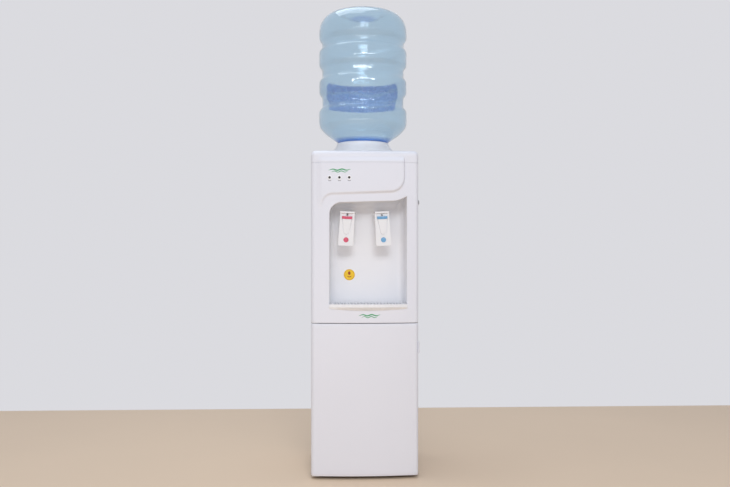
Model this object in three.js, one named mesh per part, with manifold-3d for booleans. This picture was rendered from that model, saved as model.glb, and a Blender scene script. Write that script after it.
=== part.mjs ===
// A floor-standing hot and cold water dispenser with an inverted 19 litre bottle, a dispensing
// niche with two cup-push taps, and a storage cabinet behind a door in the lower half.
//
// Millimetres. +X is to the right of someone facing the dispenser, +Y runs from its front to its
// back and +Z is up. The exported group's origin is the centre of the footprint, on the floor.
// Inside the group, y = 0 is where the front panels meet their rounded side edges.

import * as THREE from "three";
import { mergeVertices } from "three/addons/utils/BufferGeometryUtils.js";
import Module from "manifold-3d";

// ---------------------------------------------------------------- driving dimensions

const GAP = 0.3; // between two pieces that touch
const WIDTH = 310;
const HALF = WIDTH / 2;
const CROWN = 8; // how far the front bulges at its middle
const EDGE_R = 12; // rounding of the upright front edges
const PLASTIC = 2.5; // wall of a moulded panel
const SHEET = 1.2; // steel sheet
const CENTRE_Y = 148.5; // the footprint's centre, behind the front

const DOOR_Z = [8, 445.5];
const PANEL_Z = [449.5, 907];
const COVER_Z = [909, 944];
const DOOR_RETURN = 24; // how far back the door's sides reach
const BODY_FRONT = 29; // the side panels' front edge
const BODY_BACK = 299;
const SHELL_X = HALF - 0.5; // outside of the steel side panels

const BROW_EDGE_X = 113; // upright right-hand edge of the raised brow
const BROW_FADE_X = -118; // where the brow has sunk into the panel
const BROW_RISE = 6; // how proud the brow stands at its right-hand edge
const BROW_LOW_Z = 822;
const BROW_RIGHT_R = 44;
const BROW_LEFT_R = 24;

const NICHE = { left: -102, right: 121, bottom: 490, top: 796, flareTop: 812 };
const NICHE_CORNER_R = 32;
const NICHE_FLARE = 38; // width of the upward sweep at the niche's right end
const NICHE_BACK = 80; // depth of the convex back wall at its middle
const NICHE_BULGE = 12; // how much deeper the back wall is at its sides
const NICHE_BULGE_X = 110;

const AXIS = { x: 0, y: 165 }; // the bottle, its seat and the cold tank
const MOUTH_Z = 894; // the inverted bottle's mouth
const RIM_Z = 983.2; // top of the bottle collar
const BOTTLE_WALL = 1.8;

const TAP_X = 45.5;
const TAP_ROLL = 0.05; // radians: the two levers spread apart towards their feet
const TAP_Z = 757; // top of a tap's barrel
const BARREL_Y = -32; // the barrel's axis, in front of the niche wall
const PIVOT_Y = -46; // a lever's pin, level with the top of the barrel
const LEVER_LEAN = -0.08; // radians: the lever's foot stands further out than its head
const SHANK_Z = -18;
const SHANK_END = 10;

const HINGE = { x: -147, y: 17 };
const SWITCH = { z: 850, heating: 76, cooling: 104 };
const DRAIN_Z = 290;

// ---------------------------------------------------------------- solids

const wasm = await Module();
wasm.setup();

/** A closed three.js geometry as a manifold solid whose faces point outwards. */
function solid(geometry) {
  const bare = geometry.clone();
  Object.keys(bare.attributes)
    .filter((name) => name !== "position")
    .forEach((name) => bare.deleteAttribute(name));
  const merged = mergeVertices(bare, 1e-3);
  const triVerts = new Uint32Array(merged.index.array);
  const vertProperties = merged.attributes.position.array;
  const make = () => new wasm.Manifold(new wasm.Mesh({ numProp: 3, vertProperties, triVerts }));
  const made = make();
  if (made.volume() >= 0) return made;
  for (let i = 0; i < triVerts.length; i += 3) {
    [triVerts[i + 1], triVerts[i + 2]] = [triVerts[i + 2], triVerts[i + 1]];
  }
  return make();
}

/** A manifold solid as a flat-shaded three.js geometry. */
function geometryOf(manifold) {
  const mesh = manifold.getMesh();
  const indexed = new THREE.BufferGeometry()
    .setAttribute("position", new THREE.BufferAttribute(mesh.vertProperties, 3))
    .setIndex(new THREE.BufferAttribute(mesh.triVerts, 1));
  const flat = indexed.toNonIndexed();
  flat.computeVertexNormals();
  return flat;
}

const joined = (first, ...others) => others.reduce((whole, part) => whole.add(part), first);
const cut = (first, ...tools) => tools.reduce((rest, tool) => rest.subtract(tool), first);

function box([x0, x1], [y0, y1], [z0, z1]) {
  const geometry = new THREE.BoxGeometry(x1 - x0, y1 - y0, z1 - z0);
  return solid(geometry.translate((x0 + x1) / 2, (y0 + y1) / 2, (z0 + z1) / 2));
}

/** A straight round bar, or a cone, from one point to another. */
function rod(from, to, radius, sides = 20, endRadius = radius) {
  const start = new THREE.Vector3(...from);
  const run = new THREE.Vector3(...to).sub(start);
  const geometry = new THREE.CylinderGeometry(endRadius, radius, run.length(), sides);
  const turn = new THREE.Quaternion().setFromUnitVectors(
    new THREE.Vector3(0, 1, 0),
    run.clone().normalize(),
  );
  geometry.applyQuaternion(turn);
  const middle = start.addScaledVector(run, 0.5);
  return solid(geometry.translate(middle.x, middle.y, middle.z));
}

/** A profile of [radius, height] pairs turned about an upright line through (x, y). */
function turned(profile, { x, y }, sides = 24) {
  const points = profile.map(([r, z]) => new THREE.Vector2(r, z));
  if (profile[0][0] > 0) points.push(points[0].clone());
  return solid(new THREE.LatheGeometry(points, sides).rotateX(Math.PI / 2).translate(x, y, 0));
}

/** The same about a line along Y through (x, z): the pairs are [radius, y]. */
function turnedAlongY(profile, { x, z }, sides = 20) {
  const points = profile.map(([r, y]) => new THREE.Vector2(r, y));
  if (profile[0][0] > 0) points.push(points[0].clone());
  return solid(new THREE.LatheGeometry(points, sides).translate(x, 0, z));
}

const BASES = {
  plan: [[1, 0, 0], [0, 1, 0], [0, 0, 1]],
  front: [[1, 0, 0], [0, 0, 1], [0, -1, 0]],
  side: [[0, 1, 0], [0, 0, 1], [1, 0, 0]],
};

/** An outline drawn in plan (x, y), from the front (x, z) or from the side (y, z), made solid. */
function prism(view, outline, [low, high]) {
  const shape = new THREE.Shape(outline.map(([a, b]) => new THREE.Vector2(a, b)));
  const geometry = new THREE.ExtrudeGeometry(shape, { depth: high - low, bevelEnabled: false });
  const axes = BASES[view].map((axis) => new THREE.Vector3(...axis));
  geometry.applyMatrix4(new THREE.Matrix4().makeBasis(...axes));
  const shift = view === "front" ? high : low;
  const along = axes[2].clone().multiplyScalar(view === "front" ? -shift : shift);
  return solid(geometry.translate(along.x, along.y, along.z));
}

/** A bar of even-sided section along a smooth line through points. */
function tube(points, radius, { sides = 8, steps = 24, tension = 0.5 } = {}) {
  const vectors = points.map((p) => new THREE.Vector3(...p));
  const path = new THREE.CatmullRomCurve3(vectors, false, "catmullrom", tension);
  return barAlong(path, radius, sides, steps);
}

function barAlong(path, radius, sides, steps) {
  const section = new THREE.Shape(arc(0, 0, radius, 0, 360, sides).slice(0, sides).map(toVector));
  const options = { extrudePath: path, steps, bevelEnabled: false };
  return solid(new THREE.ExtrudeGeometry(section, options));
}

const toVector = ([a, b]) => new THREE.Vector2(a, b);

/** Points on an arc, in degrees, both ends included. */
function arc(cx, cy, radius, start, end, steps) {
  return Array.from({ length: steps + 1 }, (_, i) => {
    const angle = THREE.MathUtils.degToRad(start + ((end - start) * i) / steps);
    return [cx + radius * Math.cos(angle), cy + radius * Math.sin(angle)];
  });
}

// ---------------------------------------------------------------- materials and nodes

const paint = (color, roughness, metalness = 0) =>
  new THREE.MeshStandardMaterial({ color, roughness, metalness });

const MATERIALS = {
  white: paint("#e6e7ee", 0.35),
  paintedSteel: paint("#dfe0e5", 0.45, 0.1),
  tapWhite: paint("#f4f5f8", 0.3),
  red: paint("#e0506e", 0.35),
  blue: paint("#4f9ed0", 0.35),
  bottle: Object.assign(paint("#a9cbe4", 0.1), { transparent: true, opacity: 0.5 }),
  label: paint("#5d8fd0", 0.4),
  rubber: paint("#3a3a3c", 0.8),
  silicone: paint("#d9dad6", 0.6),
  stainless: paint("#b9bcc0", 0.3, 1),
  foam: paint("#efece2", 0.95),
  blackPaint: paint("#1d1d1f", 0.5, 0.3),
  blackPlastic: paint("#19191b", 0.45),
  green: paint("#3f9b59", 0.35),
  grey: paint("#b9babd", 0.4),
};

const dispenser = new THREE.Group();
const body = new THREE.Group();
body.position.y = -CENTRE_Y;
dispenser.add(body);

function piece(name, made, material, parent = body) {
  const mesh = new THREE.Mesh(geometryOf(made), MATERIALS[material]);
  mesh.name = name;
  parent.add(mesh);
  return mesh;
}

// ---------------------------------------------------------------- moulded front

const crownAt = (x) => -CROWN * (1 - (x / (HALF - EDGE_R)) ** 2);

/** The plan outline of the front, inset by a wall, reaching back to y = depth. */
function frontOutline(inset, depth) {
  const cx = HALF - EDGE_R;
  const corner = (side) =>
    arc(0, EDGE_R, EDGE_R - inset, 180, 263, 5).map(([x, y]) => [side * (cx - x), y]);
  const left = corner(-1);
  const right = corner(1).reverse();
  const crown = Array.from({ length: 11 }, (_, i) => {
    const x = -cx + 2 + (i * (2 * cx - 4)) / 10;
    return [x, crownAt(x) + inset];
  });
  return [[-HALF + inset, depth], ...left, ...crown, ...right, [HALF - inset, depth]];
}

/** A moulded front shell: crowned face, rounded upright edges, and returns on all four sides. */
function frontShell([bottom, top], depth) {
  const outside = prism("plan", frontOutline(0, depth), [bottom, top]);
  const inside = prism("plan", frontOutline(PLASTIC, depth + 1), [
    bottom + PLASTIC,
    top - PLASTIC,
  ]);
  return cut(outside, inside);
}

/** The brow seen from the front: upright right-hand edge, a sweep, and a level lower edge. */
function browOutline(top) {
  const right = arc(
    BROW_EDGE_X - BROW_RIGHT_R,
    BROW_LOW_Z + 4 + BROW_RIGHT_R,
    BROW_RIGHT_R,
    0,
    -90,
    7,
  );
  const left = arc(BROW_FADE_X + BROW_LEFT_R, BROW_LOW_Z - 2 - BROW_LEFT_R, BROW_LEFT_R, 90, 180, 5);
  return [[BROW_FADE_X, top], [BROW_EDGE_X, top], ...right, ...left];
}

/** The brow's solid, which leaves the crowned face at BROW_FADE_X and is proudest on the right. */
function brow([bottom, top], depth) {
  const swing = Math.atan(BROW_RISE / (BROW_EDGE_X - BROW_FADE_X));
  const outline = frontOutline(0, depth).map(([x, y]) => {
    const dx = x - BROW_FADE_X;
    return [
      BROW_FADE_X + dx * Math.cos(swing) + y * Math.sin(swing),
      y * Math.cos(swing) - dx * Math.sin(swing),
    ];
  });
  const swung = prism("plan", outline, [bottom, top]);
  return swung.intersect(prism("front", browOutline(top + 1), [-40, depth - 8]));
}

/** The niche opening seen from the front, grown by a margin. */
function nicheOutline(margin) {
  const { left, right, bottom, top, flareTop } = NICHE;
  const radius = NICHE_CORNER_R + margin;
  const corner = arc(left + NICHE_CORNER_R, top - NICHE_CORNER_R, radius, 180, 90, 6);
  const flare = Array.from({ length: 5 }, (_, i) => {
    const t = i / 4;
    const x = right - NICHE_FLARE * (1 - t) + margin * t;
    return [x, top + 2 + (flareTop - top - 2) * t * t + margin];
  });
  return [[left - margin, bottom - margin], ...corner, ...flare, [right + margin, bottom - margin]];
}

const nicheBackAt = (x) => NICHE_BACK + NICHE_BULGE * (x / NICHE_BULGE_X) ** 2;

/** Everything behind the niche's convex back wall, set back by an offset. */
function behindNiche(offset) {
  const curve = Array.from({ length: 13 }, (_, i) => {
    const x = -132 + (i * 264) / 12;
    return [x, nicheBackAt(x) + offset];
  });
  return prism("plan", [...curve, [132, 220], [-132, 220]], [NICHE.bottom - 20, NICHE.flareTop + 20]);
}

const LEDS = { power_led: -101.5, heating_led: -73.5, cooling_led: -45.5 };
const LED_Z = 865;
const LED_R = 2.8;
const browFaceAt = (x) =>
  crownAt(x) - (BROW_RISE * (x - BROW_FADE_X)) / (BROW_EDGE_X - BROW_FADE_X);

function makeFront() {
  const depth = BODY_FRONT - GAP;
  const inside = prism("plan", frontOutline(PLASTIC, depth + 1), [
    PANEL_Z[0] + PLASTIC,
    PANEL_Z[1] - PLASTIC,
  ]);
  const opening = prism("front", nicheOutline(0), [-40, depth]);
  const ledHoles = Object.values(LEDS).map((x) => rod([x, -30, LED_Z], [x, 20, LED_Z], LED_R + GAP, 16));
  const screwHole = rod([140, 14, 795], [170, 14, 795], 2.3, 10);
  const face = joined(frontShell(PANEL_Z, depth), brow([700, PANEL_Z[1]], depth));
  piece("front_panel", cut(face, inside, opening, ...ledHoles, screwHole), "white");

  const tub = prism("front", nicheOutline(-GAP), [-4, 110]);
  const front = prism("plan", frontOutline(0, 200), [NICHE.bottom - 20, NICHE.flareTop + 20]);
  const hollow = cut(prism("front", nicheOutline(-GAP - PLASTIC), [-40, 110]), behindNiche(0));
  const shanks = [-1, 1].map((side) => shankHole(side));
  const liner = cut(tub.intersect(front), behindNiche(PLASTIC), hollow, ...shanks);
  piece("niche_liner", liner, "white");

  Object.entries(LEDS).forEach(([name, x]) => {
    const face = browFaceAt(x);
    const lamp = rod([x, face - 0.8, LED_Z], [x, face + 9, LED_Z], LED_R, 16);
    piece(name, lamp, "blackPlastic");
  });
  const head = rod([HALF + GAP, 14, 795], [HALF + 3.6, 14, 795], 6.5, 20, 5.2);
  const thread = rod([HALF - 9, 14, 795], [HALF + 1, 14, 795], 1.9, 10);
  piece("panel_fixing_screw", joined(head, thread), "grey");
}

// ---------------------------------------------------------------- top, sides, back and base

const SEAT_HOLE_R = 95.5;

function makeTopCover() {
  const back = BODY_BACK + 1;
  const plan = (inset) => [
    ...frontOutline(inset, 40),
    ...arc(HALF - EDGE_R, back - EDGE_R, EDGE_R - inset, 0, 90, 4),
    ...arc(-HALF + EDGE_R, back - EDGE_R, EDGE_R - inset, 90, 180, 4),
  ];
  const [low, high] = COVER_Z;
  const radius = 12;
  const elevation = (inset) => [
    [HALF - inset, low - 1],
    ...arc(HALF - radius, high - radius, radius - inset, 0, 90, 4),
    ...arc(-HALF + radius, high - radius, radius - inset, 90, 180, 4),
    [-HALF + inset, low - 1],
  ];
  const outside = prism("plan", plan(0), COVER_Z);
  const rounded = outside.intersect(prism("front", elevation(0), [-40, back + 20]));
  const inside = prism("plan", plan(PLASTIC), [low - 1, high - PLASTIC]);
  const hollow = inside.intersect(prism("front", elevation(PLASTIC), [-40, back + 20]));
  const crest = brow(COVER_Z, 40).intersect(prism("front", elevation(0), [-40, 60]));
  const seatHole = rod([AXIS.x, AXIS.y, low], [AXIS.x, AXIS.y, high + 5], SEAT_HOLE_R, 36);
  piece("top_cover", cut(joined(rounded, crest), hollow, seatHole), "white");
}

function makeSides() {
  const bottom = 10;
  [["left_side_panel", -1], ["right_side_panel", 1]].forEach(([name, side]) => {
    const outer = side * SHELL_X;
    const inner = side * (SHELL_X - SHEET);
    const flange = side * (SHELL_X - 14.5);
    const outline = [
      [outer, BODY_FRONT],
      [outer, BODY_BACK],
      [flange, BODY_BACK],
      [flange, BODY_BACK - SHEET],
      [inner, BODY_BACK - SHEET],
      [inner, BODY_FRONT],
    ];
    piece(name, prism("plan", outline, [bottom, PANEL_Z[1]]), "paintedSteel");
  });
}

const BACK_FACE = BODY_BACK - SHEET - 0.5; // outside of the rear panel
const BASE_Z = 12;

function makeBack() {
  const sheet = box([-152.5, 152.5], [BACK_FACE - SHEET, BACK_FACE], [262, 905]);
  const holes = [
    box([58, 122], [BACK_FACE - 5, BACK_FACE + 5], [SWITCH.z - 13.4, SWITCH.z + 13.4]),
    rod([0, 280, DRAIN_Z], [0, 310, DRAIN_Z], 8, 20),
    rod([-100, 280, DRAIN_Z], [-100, 310, DRAIN_Z], 7.5, 20),
  ];
  const vents = [600, 620, 640, 660, 680].flatMap((z) =>
    [-70, 70].map((x) => box([x - 45, x + 45], [BACK_FACE - 5, BACK_FACE + 5], [z, z + 6])),
  );
  piece("rear_panel", cut(sheet, ...holes, ...vents), "paintedSteel");
}

function makeBase() {
  const outer = box([-152.8, 152.8], [BODY_FRONT + 3, BODY_BACK - 4], [BASE_Z, 32]);
  const inner = box([-151.3, 151.3], [BODY_FRONT + 4.5, BODY_BACK - 5.5], [BASE_Z + 1.5, 40]);
  piece("base_plate", cut(outer, inner), "blackPaint");
  [["front", 58], ["rear", 272]].forEach(([end, y]) => {
    [["left", -125], ["right", 125]].forEach(([side, x]) => {
      const foot = rod([x, y, 0], [x, y, BASE_Z - GAP], 12, 20, 15);
      piece(`foot_${end}_${side}`, foot, "rubber");
    });
  });
}

// ---------------------------------------------------------------- storage cabinet and door

const STORE = { x: 141, back: 163, z: [36, 438] };

function makeStorage() {
  const [low, high] = STORE.z;
  const tub = box([-STORE.x, STORE.x], [BODY_FRONT, STORE.back], [low, high]);
  const flange = box([-151, 151], [BODY_FRONT, BODY_FRONT + 2], [34, 443]);
  const hollow = box([-STORE.x + 2, STORE.x - 2], [0, STORE.back - 2], [low + 2, high - 2]);
  piece("storage_liner", cut(joined(tub, flange), hollow), "white");
  const plate = box([-152.3, 152.3], [BODY_FRONT + 1, 296], [450, 451.5]);
  const pipeGap = box([-112, -18], [226, 300], [440, 460]);
  const props = [-24, 24].map((dx) =>
    rod([HOT.x + dx, HOT.y - 18, 451], [HOT.x + dx, HOT.y - 18, 565.5], 4, 8),
  );
  piece("middle_shelf", joined(cut(plate, pipeGap), ...props), "paintedSteel");
}

function makeDoor() {
  const shell = frontShell(DOOR_Z, DOOR_RETURN);
  const pinHoles = rod([HINGE.x, HINGE.y, 0], [HINGE.x, HINGE.y, 460], 3.4, 14);
  const grip = box([HALF - 1, HALF + 3.4], [3, 17], [360, 392]);
  const scoop = box([HALF + 1.2, HALF + 5], [5.5, 19], [362, 390]);
  piece("door_panel", cut(joined(shell, grip), pinHoles, scoop), "white");
  const inner = box([-152.1, 152.1], [20.8, 22.8], [DOOR_Z[0] + 3, DOOR_Z[1] - 3]);
  piece("door_liner", inner, "white");
  const seal = box([-145, 145], [23.1, BODY_FRONT - GAP], [40, 436]);
  const open = box([-136, 136], [20, 40], [49, 427]);
  piece("door_gasket", cut(seal, open), "grey");
}

function makeHinges() {
  const pinR = 3;
  const upperPlate = box([-152, -125], [9, 46], [446.3, 448.3]);
  const upperPin = rod([HINGE.x, HINGE.y, 436], [HINGE.x, HINGE.y, 447], pinR, 14);
  const upperTail = box([-150, -127], [32, 46], [443.6, 447]);
  piece("upper_hinge_bracket", joined(upperPlate, upperPin, upperTail), "stainless");
  const lowerPlate = box([-152, -132], [9, 41], [4.6, 6.6]);
  const lowerPin = rod([HINGE.x, HINGE.y, 6], [HINGE.x, HINGE.y, 18], pinR, 14);
  const lowerTail = box([-150, -141], [33, 41], [6, BASE_Z - GAP]);
  piece("lower_hinge_bracket", joined(lowerPlate, lowerPin, lowerTail), "stainless");
}

// ---------------------------------------------------------------- drip tray

const TRAY = { x: [-98.3, 117.3], back: 77, z: [493.2, 501.5] };

/** The tray in plan: square at the back, with a front edge bowed out past the panel. */
function trayOutline() {
  const [left, right] = TRAY.x;
  const middle = (left + right) / 2;
  const bow = Array.from({ length: 13 }, (_, i) => {
    const x = left + (i * (right - left)) / 12;
    return [x, -21 + 14 * ((x - middle) / (right - middle)) ** 2];
  });
  return [[left, TRAY.back], ...bow, [right, TRAY.back]];
}

function makeTray() {
  const [left, right] = TRAY.x;
  const [low, high] = TRAY.z;
  const whole = prism("plan", trayOutline(), TRAY.z);
  const well = box([left + 6, right - 6], [8, TRAY.back - 6], [low + 1.5, high + 1]);
  const ledge = box([left + 2.5, right - 2.5], [4, TRAY.back - 2.5], [high - 2.8, high + 1]);
  const grip = box([left + 30, right - 30], [-13, -3], [low - 1, high - 3]);
  piece("drip_tray", cut(whole, well, ledge, grip), "white");

  const plate = box([left + 3, right - 3], [4.5, TRAY.back - 3], [high - 2.5, high - 0.3]);
  const pitch = 9.5;
  const count = 21;
  const first = (left + right) / 2 - ((count - 1) * pitch) / 2;
  const slots = Array.from({ length: count }, (_, i) => {
    const x = first + i * pitch;
    return box([x - 2.2, x + 2.2], [11, TRAY.back - 9], [high - 5, high + 1]);
  });
  piece("drip_grille", cut(plate, ...slots), "white");
}

// ---------------------------------------------------------------- bottle and seat

// The bottle's outside, [radius, height] from its mouth up to the middle of its base.
const BOTTLE_OUTSIDE = [
  [27.5, MOUTH_Z], [27.5, 940], [32, 950], [42, 961], [57, 971.5], [75, 984], [90, 994.5],
  [110, 1008], [125, 1023], [132.5, 1034], [134.5, 1044], [134.5, 1078], [131, 1085],
  [125, 1092], [125, 1122], [130.5, 1130], [134, 1137], [134, 1168], [130.5, 1175],
  [125.5, 1182], [125.5, 1208], [131, 1216], [134.5, 1223], [134.5, 1259], [131, 1266],
  [126, 1272], [126, 1290], [131, 1297], [134.5, 1305], [134.5, 1325], [131, 1343],
  [122, 1360], [108, 1373], [90, 1381], [72, 1384], [60, 1381], [50, 1371], [0, 1366],
];

/** A profile moved sideways by a distance, each point along the mean of its neighbours' normals. */
function offsetProfile(profile, distance) {
  return profile.map(([r, z], i) => {
    const [r0, z0] = profile[Math.max(i - 1, 0)];
    const [r1, z1] = profile[Math.min(i + 1, profile.length - 1)];
    const length = Math.hypot(r1 - r0, z1 - z0);
    const shifted = r + (distance * (z1 - z0)) / length;
    return [r === 0 ? 0 : shifted, z - (distance * (r1 - r0)) / length];
  });
}

function makeBottle() {
  const inside = offsetProfile(BOTTLE_OUTSIDE, -BOTTLE_WALL);
  inside[0][1] = MOUTH_Z;
  inside[inside.length - 1] = [0, 1366 - BOTTLE_WALL];
  piece("bottle", turned([...BOTTLE_OUTSIDE].reverse().concat(inside), AXIS), "bottle");

  const band = BOTTLE_OUTSIDE.filter(([, z]) => z >= 1090 && z <= 1180);
  const outer = offsetProfile(band, 1.1);
  const near = offsetProfile(band, 0.45).reverse();
  const sleeve = turned([...outer, ...near], AXIS);
  const spread = 67;
  const sector = arc(AXIS.x, AXIS.y, 200, 90 - spread, 90 + spread, 6);
  const wedge = prism("plan", [[AXIS.x, AXIS.y], ...sector], [1099, 1174]);
  piece("bottle_label", sleeve.intersect(wedge), "label");

  const cap = [
    [9, 889], [30, 889], [30, 926], [27.9, 926], [27.9, 893.6],
    [10.6, 893.6], [10.6, 910], [9, 910],
  ];
  piece("bottle_cap", turned(cap, AXIS), "blue");
}

function makeSeat() {
  const collar = [
    [75, RIM_Z], [77.5, RIM_Z], [79.5, 981.5], [80.5, 977], [86, 967], [94.5, 957.5],
    [99, 951], [100.5, COVER_Z[1] + GAP], [94.6, COVER_Z[1] + GAP], [94.6, 932], [92.4, 932],
    [92.4, 947], [84, 962], [77, 972.5], [75, 971.5], [67.5, 963], [51.5, 952], [38, 941],
    [36.5, 937], [36.5, 881], [8.6, 881], [8.6, 884], [34, 884], [34, 938], [36.5, 944.5],
    [50, 955], [66, 966], [73, 975],
  ];
  piece("bottle_collar", turned(collar, AXIS, 28), "white");
  const probe = [
    [5, 872], [7.6, 872], [7.6, 884.4], [14, 884.4], [14, 887], [7.6, 887], [7.6, 944],
    [6, 950], [5, 950],
  ];
  piece("feed_probe", turned(probe, AXIS, 16), "silicone");
}

// ---------------------------------------------------------------- taps

/** Where a tap stands: on the convex wall of the niche, square to it. */
function tapPlace(side) {
  const x = side * TAP_X;
  const slope = (2 * NICHE_BULGE * x) / NICHE_BULGE_X ** 2;
  return { x, y: nicheBackAt(x), turn: Math.atan(slope) };
}

function shankHole(side) {
  const { x, y, turn } = tapPlace(side);
  const reach = 20;
  const [dx, dy] = [-reach * Math.sin(turn), reach * Math.cos(turn)];
  const z = TAP_Z + SHANK_Z;
  return rod([x - dx, y - dy, z], [x + dx, y + dy, z], 8 + GAP, 20);
}

/** Leans a solid's geometry with the lever's face, about the face's top edge. */
function leaned(made) {
  const geometry = geometryOf(made).translate(0, 60, -12).rotateX(LEVER_LEAN).translate(0, -60, 12);
  return solid(geometry);
}

function tapBody() {
  const barrel = rod([0, BARREL_Y, -50], [0, BARREL_Y, 0], 14, 24);
  const nozzle = rod([0, BARREL_Y, -66], [0, BARREL_Y, -50], 8.5, 20, 10.5);
  const shank = rod([0, BARREL_Y, SHANK_Z], [0, SHANK_END, SHANK_Z], 8, 20);
  const flange = rod([0, -4, SHANK_Z], [0, -GAP - 0.4, SHANK_Z], 15, 24);
  const ears = [-11, 7].map((x) => box([x, x + 4], [PIVOT_Y - 4, -34], [-10, 6]));
  const chamber = rod([0, BARREL_Y, -44], [0, BARREL_Y, 1], 9.5, 20);
  const outlet = rod([0, BARREL_Y, -70], [0, BARREL_Y, -40], 5.5, 16);
  const inlet = rod([0, BARREL_Y, SHANK_Z], [0, 20, SHANK_Z], 4.5, 16);
  const pinHole = rod([-20, PIVOT_Y, 0], [20, PIVOT_Y, 0], 2.4, 12);
  return cut(joined(barrel, nozzle, shank, flange, ...ears), chamber, outlet, inlet, pinHole);
}

/** The cup-push lever: an arm over the barrel, two cheeks on the pin, and a leaning face plate. */
function tapLever() {
  const plateOutline = [
    [-20.5, 12], [-22.3, -85], ...arc(-19.3, -85, 3, 180, 270, 3),
    ...arc(19.3, -85, 3, 270, 360, 3), [22.3, -85], [20.5, 12],
  ];
  const plate = prism("front", plateOutline, [-63, -60]);
  const lip = box([-20.5, 20.5], [-65.5, -60], [6.2, 12]);
  const tongueOutline = [
    [-14.6, -6.5], [-9.6, -42], ...arc(0, -42, 9.6, 180, 360, 8), [9.6, -42], [14.6, -6.5],
  ];
  const tongue = prism("front", tongueOutline, [-66.3, -62]);
  const windows = [[-14, -3.5], [3.5, 14]].map((x) => box(x, [-80, -50], [2.5, 6.2]));
  const seat = rod([0, -70, -71], [0, -62.3, -71], 7.8, 24);
  const face = leaned(cut(joined(plate, lip, tongue), ...windows, seat));
  const arm = box([-20.5, 20.5], [-61, -20], [8, 11]);
  const cheek = [[-61.5, 11], [-40, 11], [-40, -5], [-50, -10], [-64, -42]];
  const cheeks = [-20.5, 17.7].map((x) => prism("side", cheek, [x, x + 2.8]));
  const stemSlot = joined(
    rod([0, BARREL_Y, 0], [0, BARREL_Y, 20], 3.2, 12),
    box([-3.2, 3.2], [BARREL_Y, BARREL_Y + 3], [0, 20]),
    rod([0, BARREL_Y + 3, 0], [0, BARREL_Y + 3, 20], 3.2, 12),
  );
  const pinHole = rod([-25, PIVOT_Y, 0], [25, PIVOT_Y, 0], 2.4, 12);
  return cut(joined(face, arm, ...cheeks), stemSlot, pinHole);
}

function valveStem() {
  return turned(
    [
      [0, -43.6], [5, -43.6], [8.6, -40], [8.6, -37.5], [2.4, -36.5], [2.4, 11.6],
      [4.2, 11.6], [4.2, 13.6], [0, 13.6],
    ],
    { x: 0, y: BARREL_Y },
    16,
  );
}

// Where each tap's hose runs, from behind its tap to its tank.
const HOSES = {
  hot: [
    [-46, 101, 722], [-48, 104, 704], [-30, 128, 700], [20, 170, 704], [38, 188, 706],
    [45, 195, 701], [45, 195, 690.4],
  ],
  cold: [
    [46, 101, 722], [48, 104, 702], [40, 128, 692], [26, 142, 694], [22, 146, 703],
    [22, 146, 713.5],
  ],
};

/** A tap's union nut and the hose it holds, in the tap's own place. */
function waterHose(side, route) {
  const hexagon = arc(0, SHANK_Z, 13, 0, 300, 5);
  const nut = prism("front", hexagon, [3.2, SHANK_END + 3]);
  const bore = rod([0, 0, SHANK_Z], [0, SHANK_END + GAP, SHANK_Z], 8 + GAP, 20);
  const { x, y, turn } = tapPlace(side);
  const run = route.map(([px, py, pz]) => {
    const [dx, dy] = [px - x, py - y];
    const [c, s] = [Math.cos(turn), Math.sin(turn)];
    return [c * dx + s * dy, c * dy - s * dx, pz - TAP_Z];
  });
  const start = [[0, SHANK_END + 1.5, SHANK_Z], [0, SHANK_END + 7, SHANK_Z]];
  return joined(cut(nut, bore), tube([...start, ...run], 4.2, { steps: 26 }));
}

class Helix extends THREE.Curve {
  constructor(radius, low, high, turns) {
    super();
    Object.assign(this, { radius, low, high, turns });
  }

  getPoint(t) {
    const angle = 2 * Math.PI * this.turns * t;
    const z = this.low + (this.high - this.low) * t;
    return new THREE.Vector3(
      this.radius * Math.cos(angle),
      BARREL_Y + this.radius * Math.sin(angle),
      z,
    );
  }
}

function makeTap(name, side, colour) {
  const place = tapPlace(side);
  const mount = new THREE.Group();
  mount.position.set(place.x, place.y, TAP_Z);
  mount.rotation.z = place.turn;
  body.add(mount);
  piece(`${name}_water_hose`, waterHose(side, HOSES[name]), "silicone", mount);

  const shank = new THREE.Group();
  shank.position.z = SHANK_Z;
  shank.rotation.y = -side * TAP_ROLL;
  mount.add(shank);
  const tap = new THREE.Group();
  tap.position.z = -SHANK_Z;
  shank.add(tap);
  piece(`${name}_tap_body`, tapBody(), "tapWhite", tap);

  const cap = [[3.2, -6], [9.1, -6], [9.1, -GAP], [6.3, GAP], [6.3, 4], [3.2, 4]];
  piece(`${name}_tap_cap`, turned(cap, { x: 0, y: BARREL_Y }, 16), "tapWhite", tap);
  piece(`${name}_lever`, tapLever(), "tapWhite", tap);
  const pin = rod([-20, PIVOT_Y, 0], [20, PIVOT_Y, 0], 2, 12);
  piece(`${name}_lever_pin`, pin, "stainless", tap);

  const band = box([-14.8, 14.8], [-67, -63 - GAP], [-5.8, 1.9]);
  const bandName = name === "hot" ? "hot_safety_catch" : "cold_lever_band";
  piece(bandName, leaned(band), colour, tap);
  const marker = rod([0, -63.6, -71], [0, -62.6, -71], 7.4, 24);
  piece(`${name}_marker`, leaned(marker), colour, tap);

  piece(`${name}_valve_stem`, valveStem(), "silicone", tap);
  const coil = new Helix(5.6, -36, -7.3, 5);
  piece(`${name}_valve_spring`, barAlong(coil, 0.7, 5, 44), "stainless", tap);
}

// ---------------------------------------------------------------- water tanks and cooling

const HOT = { x: 45, y: 195 };

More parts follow.
